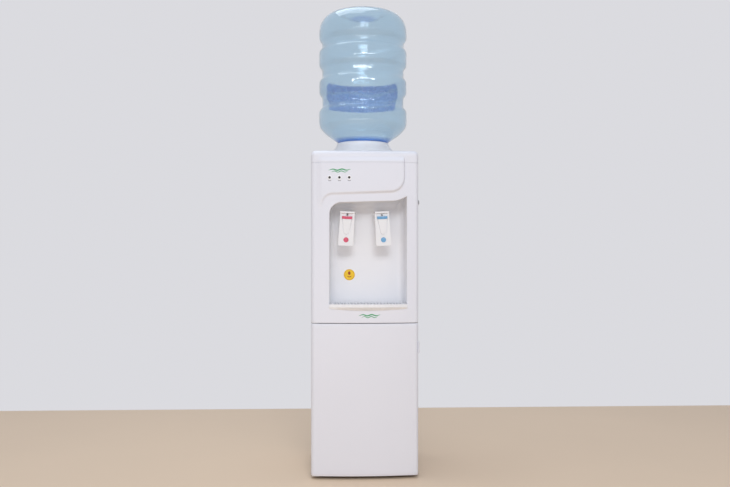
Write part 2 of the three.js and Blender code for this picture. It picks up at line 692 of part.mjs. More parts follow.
function makeTanks() {
  const cold = [
    [0, 728], [61, 728], [61, 876], [9, 876], [9, 874.8], [59.8, 874.8], [59.8, 729.2], [0, 729.2],
  ];
  piece("cold_tank", turned(cold, AXIS), "stainless");
  const jacket = [
    [0, 714], [72, 714], [72, 880.4], [12, 880.4], [12, 876.5], [61.5, 876.5], [61.5, 727.5],
    [0, 727.5],
  ];
  piece("cold_tank_insulation", turned(jacket, AXIS), "foam");
  const hot = [
    [0, 566], [30, 566], [42, 574], [42, 682], [30, 690], [5, 690], [5, 688.8], [29.6, 688.8],
    [40.8, 681], [40.8, 575], [29.6, 567.2], [0, 567.2],
  ];
  piece("hot_tank", turned(hot, HOT, 20), "stainless");
  const heater = [[42.4, 600], [45.5, 600], [45.5, 636], [42.4, 636]];
  piece("heater_band", turned(heater, HOT, 20), "stainless");
  const route = [
    [-35, 170, 713.6], [-35, 172, 650], [-35, 184, 580], [-14, 195, 550], [16, 195, 543],
    [38, 195, 545], [45, 195, 555], [45, 195, 565.6],
  ];
  piece("feed_tube", tube(route, 5, { steps: 26 }), "silicone");
}

function makeCooling() {
  const [x, y] = [0, 232];
  const can = [
    [0, 40], [34, 42], [54, 54], [58, 70], [58, 108], [61.5, 108], [61.5, 114], [58, 114],
    [57, 150], [46, 172], [24, 182], [0, 184],
  ];
  const plate = box([-66, 66], [y - 46, y + 46], [30, 34]);
  const stand = rod([x, y, 33], [x, y, 48], 38, 16);
  const grommets = [-54, 54].flatMap((dx) =>
    [-34, 34].map((dy) => rod([dx, y + dy, BASE_Z + 1.5 + GAP], [dx, y + dy, 36], 9, 12)),
  );
  const suction = tube(
    [
      [24, y, 176], [26, y + 4, 215], [-20, y + 14, 262], [-72, 262, 330], [-78, 266, 480],
      [-78, 250, 620], [-48, 190, 690], [-46, 186, 713.5],
    ],
    3,
    { sides: 6 },
  );
  const housing = joined(turned(can, { x, y }, 24), plate, stand, ...grommets);
  piece("compressor", joined(housing, suction), "blackPaint");

  const runs = 9;
  const [low, pitch, reach, depth] = [345, 54, 118, 308];
  const line = new THREE.CurvePath();
  const at = (px, pz) => new THREE.Vector3(px, depth, pz);
  for (let i = 0; i < runs; i += 1) {
    const z = low + i * pitch;
    const way = i % 2 === 0 ? 1 : -1;
    line.add(new THREE.LineCurve3(at(-way * reach, z), at(way * reach, z)));
    if (i === runs - 1) break;
    const bulge = way * (reach + pitch * 0.6);
    const end = at(way * reach, z + pitch);
    const [out, back] = [at(bulge, z), at(bulge, z + pitch)];
    line.add(new THREE.CubicBezierCurve3(at(way * reach, z), out, back, end));
  }
  const serpentine = serpentineBar(line, 2.6);
  const straps = [-96, -32, 32, 96].map((sx) =>
    box([sx - 4, sx + 4], [BODY_BACK + 0.5, depth - 1], [low - 14, low + (runs - 1) * pitch + 14]),
  );
  const inlet = tube(
    [
      [-reach, depth, low], [-reach - 6, depth, low - 8], [-reach - 8, depth, low - 40],
      [-100, 300, 236], [-60, 262, 214], [-24, 236, 206], [-20, y, 186],
    ],
    2.6,
    { sides: 6 },
  );
  piece("condenser", joined(serpentine, inlet, ...straps), "blackPaint");
}

/** A bar along straight runs and bends: one step for each run and five for each bend. */
function serpentineBar(line, radius) {
  const points = line.curves.flatMap((curve, i) => {
    const steps = curve.isLineCurve3 ? 1 : 5;
    return curve.getPoints(steps).slice(i === 0 ? 0 : 1);
  });
  const sections = points.map((point, i) => {
    const before = points[Math.max(i - 1, 0)];
    const after = points[Math.min(i + 1, points.length - 1)];
    const along = after.clone().sub(before).normalize();
    const side = new THREE.Vector3(0, 1, 0).cross(along);
    return arc(0, 0, radius, 0, 300, 5).map(([a, b]) =>
      point.clone().addScaledVector(side, a).add(new THREE.Vector3(0, b, 0)),
    );
  });
  const links = sections.slice(1).map((section, i) => hull([...sections[i], ...section]));
  return joined(...links);
}

function hull(points) {
  return wasm.Manifold.hull(points.map((p) => p.toArray()));
}

// ---------------------------------------------------------------- rear fittings

/** A rocker: round about its pin at the back, with two faces that meet over the pin. */
function rocker(x) {
  const tilt = THREE.MathUtils.degToRad(-8);
  const outline = [[-3, -7.2], [7, -7.2], [9.5, -6.6], [8, 0], [9.5, 6.6], [7, 7.2], [-3, 7.2]];
  const turnedOutline = outline.map(([y, z]) => [
    292 + y * Math.cos(tilt) - z * Math.sin(tilt),
    SWITCH.z + y * Math.sin(tilt) + z * Math.cos(tilt),
  ]);
  return prism("side", turnedOutline, [x - 10, x + 10]);
}

function makeRear() {
  const z = SWITCH.z;
  const bezel = box([54, 126], [BACK_FACE + GAP, BACK_FACE + 3], [z - 17, z + 17]);
  const barrel = box([58.4, 121.6], [278, BACK_FACE + 1], [z - 13, z + 13]);
  const wells = [SWITCH.heating, SWITCH.cooling].map((x) =>
    box([x - 10.6, x + 10.6], [286, 310], [z - 10, z + 10]),
  );
  piece("switch_housing", cut(joined(bezel, barrel), ...wells), "blackPlastic");
  piece("heating_switch", rocker(SWITCH.heating), "red");
  piece("cooling_switch", rocker(SWITCH.cooling), "green");

  const gland = [
    [3.6, 284], [7, 284], [7, BACK_FACE + GAP], [11, BACK_FACE + GAP], [11, 302], [6, 311], [3.6, 311],
  ];
  piece("cable_gland", turnedAlongY(gland, { x: -100, z: DRAIN_Z }), "blackPlastic");
  const spout = [
    [5, 280], [7.5, 280], [7.5, BACK_FACE + GAP], [13, BACK_FACE + GAP], [13, 300.5], [7.5, 300.5],
    [7.5, 312], [5, 312],
  ];
  const hose = tube(
    [
      [0, 283, DRAIN_Z], [0, 268, DRAIN_Z + 2], [-26, 258, 330], [-36, 262, 420], [-36, 262, 480],
      [-8, 238, 538], [22, 212, 546], [28, 203, 552], [28, 202, 565],
    ],
    5.5,
    { steps: 28 },
  );
  piece("drain_spout", joined(turnedAlongY(spout, { x: 0, z: DRAIN_Z }), hose), "silicone");
  const cap = [
    [0, 318], [11, 318], [11, 302], [7.9, 302], [7.9, 313], [0, 313],
  ];
  piece("drain_cap", turnedAlongY(cap, { x: 0, z: DRAIN_Z }), "white");
}

// ---------------------------------------------------------------- the whole dispenser

makeFront();
makeTopCover();
makeSides();
makeBack();
makeBase();
makeStorage();
makeDoor();
makeHinges();
makeTray();
makeBottle();
makeSeat();
makeTap("hot", -1, "red");
makeTap("cold", 1, "blue");
makeTanks();
makeCooling();
makeRear();

export default dispenser;
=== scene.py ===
"""A floor-standing bottled water dispenser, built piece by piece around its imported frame.

Metres, +Z up, the front facing -Y, and the origin on the floor under the middle of the cabinet.
"""

import math

import bmesh
import bpy
from bpy.props import (
    FloatProperty,
    FloatVectorProperty,
    IntProperty,
    PointerProperty,
)
from mathutils import Matrix, Vector, kdtree


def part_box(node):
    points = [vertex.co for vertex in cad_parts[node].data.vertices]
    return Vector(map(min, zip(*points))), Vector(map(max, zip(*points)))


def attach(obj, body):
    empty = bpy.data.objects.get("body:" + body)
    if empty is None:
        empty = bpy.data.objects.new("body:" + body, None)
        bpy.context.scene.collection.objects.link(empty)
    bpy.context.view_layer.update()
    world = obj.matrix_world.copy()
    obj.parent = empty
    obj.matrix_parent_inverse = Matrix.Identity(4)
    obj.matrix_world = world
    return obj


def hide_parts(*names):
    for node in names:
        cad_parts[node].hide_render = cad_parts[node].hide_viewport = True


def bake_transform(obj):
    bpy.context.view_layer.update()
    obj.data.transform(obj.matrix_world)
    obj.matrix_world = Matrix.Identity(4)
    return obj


bl_info = {
    "name": "Bottled Water Dispenser",
    "version": (1, 0, 0),
    "blender": (4, 5, 0),
    "location": "View3D > Sidebar > Dispenser",
    "description": "Builds a floor-standing hot and cold water dispenser around its frame",
    "category": "Add Mesh",
}

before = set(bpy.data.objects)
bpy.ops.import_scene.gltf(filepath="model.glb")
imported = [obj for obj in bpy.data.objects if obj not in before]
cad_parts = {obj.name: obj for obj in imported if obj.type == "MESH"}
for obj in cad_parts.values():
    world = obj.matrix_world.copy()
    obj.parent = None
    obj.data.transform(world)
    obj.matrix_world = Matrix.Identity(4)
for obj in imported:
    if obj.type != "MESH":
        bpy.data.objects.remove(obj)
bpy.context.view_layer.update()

# ------------------------------------------------------------------ places taken from the frame

DOOR_LOW, DOOR_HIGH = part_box("door_panel")
PANEL_LOW, PANEL_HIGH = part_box("front_panel")
COVER_LOW, COVER_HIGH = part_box("top_cover")
BOTTLE_LOW, BOTTLE_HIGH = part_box("bottle")
COLLAR_LOW, COLLAR_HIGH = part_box("bottle_collar")
TRAY_LOW, TRAY_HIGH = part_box("drip_tray")
GRILLE_LOW, GRILLE_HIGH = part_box("drip_grille")
REAR_LOW, REAR_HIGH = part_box("rear_panel")
STORE_LOW, STORE_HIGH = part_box("storage_liner")
LINER_LOW, LINER_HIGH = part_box("niche_liner")

HALF = -PANEL_LOW.x  # half the cabinet's width
CROWN = 0.008  # how far the front bulges at its middle
FACE_Y = DOOR_LOW.y + CROWN  # where the crowned front meets its rounded edges
RETURN_Y = PANEL_HIGH.y  # the front shells' back edge
SEAM = 0.0016  # gap over the door
FINE_SEAM = 0.0002  # gap under the top cover
DOOR_TOP = DOOR_HIGH.z + 0.0005
PANEL_FOOT = DOOR_TOP + SEAM
PANEL_TOP = COVER_LOW.z - FINE_SEAM
AXIS = Vector(((BOTTLE_LOW.x + BOTTLE_HIGH.x) / 2, (BOTTLE_LOW.y + BOTTLE_HIGH.y) / 2, 0))

# ------------------------------------------------------------------ what a user may change


class CabinetSettings(bpy.types.PropertyGroup):
    """Sizes and colours of the moulded cabinet."""

    edge_radius: FloatProperty(
        name="Edge Radius",
        description="Rounding of the upright front edges",
        default=0.012,
        unit="LENGTH",
    )
    wall: FloatProperty(
        name="Wall",
        description="Thickness of the moulded panels",
        default=0.0025,
        unit="LENGTH",
    )
    brow_rise: FloatProperty(
        name="Brow Rise",
        description="How proud the brow stands at its right-hand edge",
        default=0.0085,
        unit="LENGTH",
    )
    niche_fillet: FloatProperty(
        name="Niche Fillet",
        description="Rounding between the niche's sides and its back wall",
        default=0.022,
        unit="LENGTH",
    )
    plastic_colour: FloatVectorProperty(
        name="Plastic",
        description="Colour of the white mouldings",
        subtype="COLOR",
        default=(0.83, 0.85, 0.925),
    )
    steel_colour: FloatVectorProperty(
        name="Painted Steel",
        description="Colour of the powder-coated panels",
        subtype="COLOR",
        default=(0.76, 0.765, 0.79),
    )
    mark_colour: FloatVectorProperty(
        name="Mark",
        description="Colour of the wave marks",
        subtype="COLOR",
        default=(0.07, 0.40, 0.17),
    )


class BottleSettings(bpy.types.PropertyGroup):
    """Sizes and colours of the bottle."""

    wall: FloatProperty(
        name="Wall",
        description="Thickness of the bottle's wall",
        default=0.0016,
        unit="LENGTH",
    )
    steps: IntProperty(
        name="Steps",
        description="Facets round the bottle",
        default=112,
        min=24,
    )
    tint: FloatVectorProperty(
        name="Tint",
        description="Colour of the clear polycarbonate",
        subtype="COLOR",
        default=(0.74, 0.88, 0.97),
    )
    label_colour: FloatVectorProperty(
        name="Label",
        description="Main colour of the label",
        subtype="COLOR",
        default=(0.11, 0.38, 1.0),
    )
    cap_colour: FloatVectorProperty(
        name="Cap",
        description="Colour of the bottle's cap",
        subtype="COLOR",
        default=(0.03, 0.12, 0.40),
    )


class TapSettings(bpy.types.PropertyGroup):
    """Sizes and colours of the taps."""

    plate_edge: FloatProperty(
        name="Plate Edge",
        description="Rounding of a lever's edges",
        default=0.0012,
        unit="LENGTH",
    )
    hot_colour: FloatVectorProperty(
        name="Hot",
        description="Colour of the hot water marks",
        subtype="COLOR",
        default=(0.76, 0.11, 0.19),
    )
    cold_colour: FloatVectorProperty(
        name="Cold",
        description="Colour of the cold water marks",
        subtype="COLOR",
        default=(0.17, 0.42, 0.70),
    )


class StageSettings(bpy.types.PropertyGroup):
    """The floor, the light and the camera."""

    floor_colour: FloatVectorProperty(
        name="Floor",
        description="Colour of the floor",
        subtype="COLOR",
        default=(0.84, 0.66, 0.48),
    )
    camera_distance: FloatProperty(
        name="Camera Distance",
        description="From the camera to the cabinet's front",
        default=2.33,
        unit="LENGTH",
    )
    camera_height: FloatProperty(
        name="Camera Height",
        description="Height of the camera, which looks level",
        default=0.676,
        unit="LENGTH",
    )
    camera_turn: FloatProperty(
        name="Camera Turn",
        description="How far the camera stands to the left of straight ahead",
        default=math.radians(2.2),
        unit="ROTATION",
    )


# ------------------------------------------------------------------ shaping

EPSILON = 1e-6


def smoothstep(value):
    """0 below 0, 1 above 1, and a smooth rise between them."""
    value = min(max(value, 0.0), 1.0)
    return value * value * (3 - 2 * value)


def arc(centre, radius, start, end, steps):
    """Points along an arc given in degrees, both ends included."""
    angles = (math.radians(start + (end - start) * i / steps) for i in range(steps + 1))
    return [(centre[0] + radius * math.cos(a), centre[1] + radius * math.sin(a)) for a in angles]


def rounded(points, per_stretch=5):
    """A smooth curve through 2-D points, as a denser list of points."""
    ends = [points[0], *points, points[-1]]
    dense = []
    for i in range(len(points) - 1):
        p0, p1, p2, p3 = (Vector(p) for p in ends[i : i + 4])
        for step in range(per_stretch):
            t = step / per_stretch
            dense.append(
                0.5
                * (
                    2 * p1
                    + (p2 - p0) * t
                    + (2 * p0 - 5 * p1 + 4 * p2 - p3) * t * t
                    + (3 * p1 - p0 - 3 * p2 + p3) * t**3
                )
            )
    return [*dense, Vector(points[-1])]


def evenly(points, count, closed=True):
    """As many points as asked for, evenly spaced along a line through 2-D points."""
    points = [Vector(p) for p in points]
    path = [*points, points[0]] if closed else points
    lengths = [0.0]
    for a, b in zip(path, path[1:]):
        lengths.append(lengths[-1] + (b - a).length)
    spaced = []
    stretch = 0
    for i in range(count):
        wanted = lengths[-1] * i / (count if closed else count - 1)
        while stretch < len(path) - 2 and lengths[stretch + 1] < wanted:
            stretch += 1
        span = lengths[stretch + 1] - lengths[stretch]
        t = (wanted - lengths[stretch]) / span if span else 0.0
        spaced.append(path[stretch].lerp(path[stretch + 1], min(t, 1.0)))
    return spaced


def offset(points, distance):
    """A closed 2-D outline moved outwards by a distance, whichever way round it runs."""
    points = [Vector(p) for p in points]
    count = len(points)
    area = sum(points[i - 1].cross(points[i]) for i in range(count))
    side = 1 if area > 0 else -1
    moved = []
    for i, point in enumerate(points):
        along = (points[(i + 1) % count] - points[i - 1]).normalized()
        moved.append(point + Vector((along.y, -along.x)) * distance * side)
    return moved


def lofted(sections, closed=True, flip=False):
    """Skins a row of sections, each with as many points, as one surface."""
    bm = bmesh.new()
    count = len(sections[0])
    across = count if closed else count - 1
    along = len(sections) - 1
    bmesh.ops.create_grid(bm, x_segments=across, y_segments=along, size=1.0)
    for vert in bm.verts:
        i = round((vert.co.x + 1) / 2 * across) % count
        j = round((vert.co.y + 1) / 2 * along)
        vert.co = sections[j][i]
    bmesh.ops.remove_doubles(bm, verts=bm.verts, dist=EPSILON)
    bmesh.ops.recalc_face_normals(bm, faces=bm.faces)
    if flip:
        bmesh.ops.reverse_faces(bm, faces=bm.faces)
    return bm


def turned(profile, centre, steps=64, along="Z", start=0.0, sweep=2 * math.pi):
    """Turns a profile of (radius, place) pairs about a line through centre along Z or Y."""
    bm = bmesh.new()
    axis = Vector((0, 0, 1)) if along == "Z" else Vector((0, 1, 0))
    centre = Vector(centre)
    centre -= axis * centre.dot(axis)
    out = Matrix.Rotation(start, 3, axis) @ Vector((1, 0, 0))
    verts = [bm.verts.new(centre + out * r + axis * place) for r, place in profile]
    edges = [bm.edges.new(pair) for pair in zip(verts, verts[1:])]
    full = abs(sweep - 2 * math.pi) < EPSILON
    bmesh.ops.spin(
        bm,
        geom=[*verts, *edges],
        cent=centre,
        axis=axis,
        angle=sweep,
        steps=steps,
        use_merge=full,
    )
    bmesh.ops.remove_doubles(bm, verts=bm.verts, dist=EPSILON)
    if not full:
        bmesh.ops.holes_fill(bm, edges=[e for e in bm.edges if e.is_boundary])
    bmesh.ops.recalc_face_normals(bm, faces=bm.faces)
    return bm


FACINGS = {
    "front": lambda a, b, depth: Vector((a, depth, b)),
    "side": lambda a, b, depth: Vector((depth, a, b)),
    "plan": lambda a, b, depth: Vector((a, b, depth)),
}


def cut_out(outline, low, high, facing="front"):
    """A flat outline given a thickness from low to high along its facing's third axis."""
    bm = bmesh.new()
    place = FACINGS[facing]
    face = bm.faces.new([bm.verts.new(place(a, b, low)) for a, b in outline])
    grown = bmesh.ops.extrude_face_region(bm, geom=[face])
    raised = [v for v in grown["geom"] if isinstance(v, bmesh.types.BMVert)]
    bmesh.ops.translate(bm, verts=raised, vec=place(0, 0, high - low))
    bmesh.ops.recalc_face_normals(bm, faces=bm.faces)
    return bm


def block(low, high):
    """A box between two corners."""
    bm = bmesh.new()
    low, high = Vector(low), Vector(high)
    bmesh.ops.create_cube(bm, size=1.0)
    bmesh.ops.scale(bm, verts=bm.verts, vec=high - low)
    bmesh.ops.translate(bm, verts=bm.verts, vec=(low + high) / 2)
    return bm


def bar(start, end, radius, sides=24, end_radius=None):
    """A round bar or cone between two points."""
    bm = bmesh.new()
    start, end = Vector(start), Vector(end)
    run = end - start
    bmesh.ops.create_cone(
        bm,
        cap_ends=True,
        segments=sides,
        radius1=radius,
        radius2=radius if end_radius is None else end_radius,
        depth=run.length,
        matrix=Matrix.Translation((start + end) / 2) @ run.to_track_quat("Z", "Y").to_matrix().to_4x4(),
    )
    return bm


def together(*parts):
    """Gathers several meshes in one."""
    bm = bmesh.new()
    for part in parts:
        mesh = bpy.data.meshes.new("gathered")
        part.to_mesh(mesh)
        part.free()
        bm.from_mesh(mesh)
        bpy.data.meshes.remove(mesh)
    return bm


def placed(bm, matrix):
    """Moves and turns a whole mesh."""
    bmesh.ops.transform(bm, matrix=matrix, verts=bm.verts)
    return bm


def piece(name, bm, body, finish, stands_for=(), sharp=40):
    """Makes a finished object of a mesh and has it ride on a body of the frame, if one is given."""
    mesh = bpy.data.meshes.new(name)
    for face in bm.faces:
        face.smooth = True
    bm.to_mesh(mesh)
    bm.free()
    mesh.set_sharp_from_angle(angle=math.radians(sharp))
    made = bpy.data.objects.new(name, mesh)
    bpy.context.scene.collection.objects.link(made)
    mesh.materials.append(finish)
    if body:
        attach(made, body)
    if stands_for:
        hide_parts(*stands_for)
    return made


def ease_edges(made, width, segments=3, angle=35):
    """Rounds a piece's edges."""
    if "sharp_edge" in made.data.attributes:
        made.data.attributes.remove(made.data.attributes["sharp_edge"])
    bevel = made.modifiers.new("eased edges", "BEVEL")
    bevel.width = width
    bevel.segments = segments
    bevel.limit_method = "ANGLE"
    bevel.angle_limit = math.radians(angle)
    bevel.harden_normals = True
    bevel.use_clamp_overlap = True
    return made


def thicken(made, wall):
    """Gives a skin its wall, behind the face that shows."""
    solid = made.modifiers.new("wall", "SOLIDIFY")
    solid.thickness = wall
    solid.offset = -1
    return made


# ------------------------------------------------------------------ finishes


class Finish:
    """A procedural material, built a layer at a time on Object coordinates."""

    def __init__(self, name, colour, roughness, metallic=0.0):
        self.material = bpy.data.materials.new(name)
        self.material.use_nodes = True
        tree = self.material.node_tree
        self.nodes, self.links = tree.nodes, tree.links
        self.shader = self.nodes["Principled BSDF"]
        self.place = self.nodes.new("ShaderNodeTexCoord").outputs["Object"]
        self.normal = None
        self.set("Base Color", (*colour, 1))
        self.set("Roughness", roughness)
        self.set("Metallic", metallic)
        self.colour = colour

    def set(self, socket, value):
        self.shader.inputs[socket].default_value = value
        return self

    def noise(self, scale, detail=3.0, stretch=(1, 1, 1)):
        """Noise with so many features to the metre."""
        mapping = self.nodes.new("ShaderNodeMapping")
        mapping.inputs["Scale"].default_value = stretch
        self.links.new(self.place, mapping.inputs["Vector"])
        noise = self.nodes.new("ShaderNodeTexNoise")
        noise.inputs["Scale"].default_value = scale
        noise.inputs["Detail"].default_value = detail
        self.links.new(mapping.outputs["Vector"], noise.inputs["Vector"])
        return noise.outputs["Fac"]

    def spread(self, value, low, high, from_low=0.3, from_high=0.7):
        """Maps a value to a range."""
        span = self.nodes.new("ShaderNodeMapRange")
        for socket, number in zip(
            ("From Min", "From Max", "To Min", "To Max"), (from_low, from_high, low, high)
        ):
            span.inputs[socket].default_value = number
        self.links.new(value, span.inputs["Value"])
        return span.outputs["Result"]

    def mottled(self, scale, amount, stretch=(1, 1, 1)):
        """Lets the colour drift a little, lighter and darker."""
        mix = self.nodes.new("ShaderNodeMix")
        mix.data_type = "RGBA"
        mix.inputs["A"].default_value = (*(c * (1 - amount) for c in self.colour), 1)
        mix.inputs["B"].default_value = (*(min(c * (1 + amount), 1) for c in self.colour), 1)
        self.links.new(self.spread(self.noise(scale, 4, stretch), 0, 1), mix.inputs["Factor"])
        self.links.new(mix.outputs["Result"], self.shader.inputs["Base Color"])
        return self

    def worn(self, scale, low, high, stretch=(1, 1, 1)):
        """Lets the gloss drift between two roughnesses."""
        drift = self.spread(self.noise(scale, 2, stretch), low, high)
        self.links.new(drift, self.shader.inputs["Roughness"])
        return self

    def grained(self, scale, depth, detail=2.0, stretch=(1, 1, 1)):
        """Adds a relief so many metres deep."""
        bump = self.nodes.new("ShaderNodeBump")
        bump.inputs["Strength"].default_value = 1.0
        bump.inputs["Distance"].default_value = depth
        self.links.new(self.noise(scale, detail, stretch), bump.inputs["Height"])
        if self.normal:
            self.links.new(self.normal, bump.inputs["Normal"])
        self.normal = bump.outputs["Normal"]
        self.links.new(self.normal, self.shader.inputs["Normal"])
        return self


FINISHES = {}


def finish(name):
    """A finish by name, made once."""
    if name not in FINISHES:
        FINISHES[name] = FINISH_MAKERS[name]()
    return FINISHES[name]


def moulded(name, colour, roughness=0.3):
    """Injection-moulded plastic with a faint flow mottle and a fine satin skin."""
    made = Finish(name, colour, roughness)
    made.mottled(5, 0.004).worn(9, roughness - 0.02, roughness + 0.03)
    made.grained(800, 0.000006)
    return made.material


def make_white_plastic():
    return moulded("white moulded plastic", tuple(bpy.context.scene.cabinet.plastic_colour))


def make_tap_plastic():
    made = Finish("tap plastic", (0.90, 0.905, 0.925), 0.2)
    made.mottled(40, 0.01).worn(120, 0.16, 0.27).grained(900, 0.000006)
    made.set("Coat Weight", 0.25)
    return made.material


# A lighter copy of the white moulding. On the seat collar it is painted light that makes up for the bottle's shadow.
# The lamp bezels also use it.
def make_bright_plastic_and_lit_copy():
    return moulded("bright moulded plastic and lit white copy", (0.96, 0.97, 0.995))


# Painted light: a lighter copy of the white moulding, which lifts the niche where it stands in shade.
def make_niche_lit_copy_plastic():
    return moulded("niche lit copy of white plastic", (0.90, 0.91, 0.945))


def make_tray_plastic():
    made = Finish("tray plastic", (0.90, 0.91, 0.94), 0.24)
    made.mottled(22, 0.015).worn(45, 0.18, 0.34, (1, 3, 1)).grained(800, 0.000008)
    return made.material


def make_painted_steel():
    made = Finish("powder-coated steel", tuple(bpy.context.scene.cabinet.steel_colour), 0.38)
    made.mottled(5, 0.012).worn(14, 0.32, 0.44).grained(420, 0.00004).grained(2.4, 0.0006, 1.0)
    return made.material


def make_black_paint():
    made = Finish("black paint", (0.018, 0.018, 0.02), 0.42)
    made.mottled(60, 0.25).worn(40, 0.34, 0.55).grained(500, 0.00005)
    return made.material


def make_black_plastic():
    made = Finish("black plastic", (0.02, 0.02, 0.022), 0.4)
    made.mottled(80, 0.2).worn(90, 0.33, 0.5).grained(1100, 0.00003)
    return made.material


def make_rubber():
    made = Finish("foot rubber", (0.035, 0.035, 0.037), 0.75)
    made.mottled(120, 0.3).worn(60, 0.65, 0.88).grained(1500, 0.00006, 4)
    return made.material


def make_gasket_rubber():
    made = Finish("gasket rubber", (0.55, 0.56, 0.57), 0.62)
    made.mottled(50, 0.06).worn(40, 0.55, 0.72).grained(900, 0.00003)
    return made.material


def make_silicone():
    made = Finish("silicone hose", (0.72, 0.72, 0.70), 0.45)
    made.mottled(70, 0.05).worn(60, 0.38, 0.55).grained(600, 0.00003)
    made.set("Subsurface Weight", 0.15).set("Subsurface Scale", 0.003)
    return made.material


def make_stainless():
    made = Finish("brushed stainless steel", (0.62, 0.63, 0.64), 0.28, 1.0)
    made.worn(55, 0.22, 0.42, (1, 1, 18)).grained(260, 0.000012, 3, (1, 1, 24))
    return made.material


def make_foam():
    made = Finish("insulating foam", (0.83, 0.80, 0.70), 0.9)
    made.mottled(90, 0.08).grained(450, 0.0004, 5)
    return made.material


def make_hot():
    colour = tuple(bpy.context.scene.taps.hot_colour)
    made = Finish("hot red plastic", colour, 0.22)
    made.mottled(90, 0.06).worn(140, 0.18, 0.3).grained(1100, 0.000008).set("Coat Weight", 0.3)
    return made.material


def make_cold():
    colour = tuple(bpy.context.scene.taps.cold_colour)
    made = Finish("cold blue plastic", colour, 0.22)
    made.mottled(90, 0.06).worn(140, 0.18, 0.3).grained(1100, 0.000008).set("Coat Weight", 0.3)
    return made.material


def make_green():
    made = Finish("green switch plastic", (0.03, 0.28, 0.09), 0.28)
    made.mottled(90, 0.06).worn(140, 0.22, 0.36).grained(1100, 0.00001)
    return made.material


def make_cap():
    colour = tuple(bpy.context.scene.bottle.cap_colour)
    made = Finish("blue cap plastic", colour, 0.35)
    made.mottled(80, 0.06).worn(90, 0.28, 0.44).grained(900, 0.00001)
    return made.material


def make_bottle():
    """Clear polycarbonate: a faint blue body with slow ripples from blowing, and a deeper blue painted as shade at the
    neck and over the punt.
    """
    tint = tuple(bpy.context.scene.bottle.tint)
    made = Finish("clear blue polycarbonate", tint, 0.05)
    made.worn(12, 0.02, 0.06).grained(11, 0.0004, 1.0, (1, 1, 1.8))
    made.set("Transmission Weight", 0.86).set("IOR", 1.45)
    # Painted shade: the tint turns a deeper blue low on the shoulder into the neck, and in a disc over the punt.
    split = made.nodes.new("ShaderNodeSeparateXYZ")
    made.links.new(made.place, split.inputs["Vector"])
    neck_painted_shade = made.spread(split.outputs["Z"], 1, 0, 0.987, 0.997)
    span = made.nodes.new("ShaderNodeVectorMath")
    span.operation = "DISTANCE"
    span.inputs[1].default_value = (AXIS.x, AXIS.y, 1.362)
    made.links.new(made.place, span.inputs[0])
    punt = made.spread(span.outputs["Value"], 0.6, 0, 0.032, 0.045)
    painted_shade = made.nodes.new("ShaderNodeMath")
    painted_shade.operation = "MAXIMUM"
    made.links.new(neck_painted_shade, painted_shade.inputs[0])
    made.links.new(punt, painted_shade.inputs[1])
    made.links.new(painted_shade.outputs[0], made_mix(made, tint, (0.16, 0.34, 0.80)))
    return made.material


def make_label():
    """A printed film: a deep band with two pale waves."""
    colour = tuple(bpy.context.scene.bottle.label_colour)
    made = Finish("printed label film", colour, 0.3)
    split = made.nodes.new("ShaderNodeSeparateXYZ")
    made.links.new(made.place, split.inputs["Vector"])
    made.links.new(wave_mask(made, split), made_mix(made, colour, (0.30, 0.56, 0.97)))
    made.worn(80, 0.22, 0.38).grained(700, 0.00001)
    made.set("Transmission Weight", 0.8).set("IOR", 1.2)
    return made.material


def wave_mask(made, split):
    """1 on two wavy bands of the label, 0 elsewhere."""
    swing = made.nodes.new("ShaderNodeMath")
    swing.operation = "SINE"
    turns = made.nodes.new("ShaderNodeMath")
    turns.operation = "MULTIPLY"
    turns.inputs[1].default_value = 42
    made.links.new(split.outputs["X"], turns.inputs[0])
    made.links.new(turns.outputs[0], swing.inputs[0])
    lift = made.nodes.new("ShaderNodeMath")
    lift.operation = "MULTIPLY_ADD"
    lift.inputs[1].default_value = 0.006
    made.links.new(swing.outputs[0], lift.inputs[0])
    made.links.new(split.outputs["Z"], lift.inputs[2])
    folded = made.nodes.new("ShaderNodeMath")
    folded.operation = "PINGPONG"
    folded.inputs[1].default_value = 0.019
    made.links.new(lift.outputs[0], folded.inputs[0])
    edge = made.nodes.new("ShaderNodeMapRange")
    edge.inputs["From Min"].default_value = 0.0138
    edge.inputs["From Max"].default_value = 0.0144
    made.links.new(folded.outputs[0], edge.inputs["Value"])
    return edge.outputs["Result"]


def made_mix(made, first, second):
    """Mixes two colours into a finish's base, and gives the factor's socket."""
    mix = made.nodes.new("ShaderNodeMix")
    mix.data_type = "RGBA"
    mix.inputs["A"].default_value = (*first, 1)
    mix.inputs["B"].default_value = (*second, 1)
    made.links.new(mix.outputs["Result"], made.shader.inputs["Base Color"])
    return mix.inputs["Factor"]


def make_mark():
    colour = tuple(bpy.context.scene.cabinet.mark_colour)
    made = Finish("green mark", colour, 0.35)
    return made.mottled(200, 0.08).grained(900, 0.000008).material


def make_caption():
    made = Finish("grey caption", (0.33, 0.33, 0.36), 0.4)
    return made.mottled(300, 0.08).grained(900, 0.000008).material


def make_sticker():
    made = Finish("yellow sticker", (0.93, 0.60, 0.02), 0.4)
    return made.mottled(150, 0.06).grained(900, 0.000008).material


def make_sticker_print():
    made = Finish("dark red print", (0.36, 0.05, 0.01), 0.45)
    return made.mottled(200, 0.2).grained(900, 0.000008).material


def make_lens():
    made = Finish("dark lamp lens", (0.012, 0.012, 0.015), 0.12)
    made.mottled(300, 0.2).grained(1200, 0.000005).set("Coat Weight", 0.5)
    return made.material


def make_grey_plastic():
    made = Finish("grey plastic", (0.44, 0.455, 0.48), 0.36)
    made.mottled(60, 0.05).worn(90, 0.3, 0.45).grained(900, 0.00002)
    return made.material


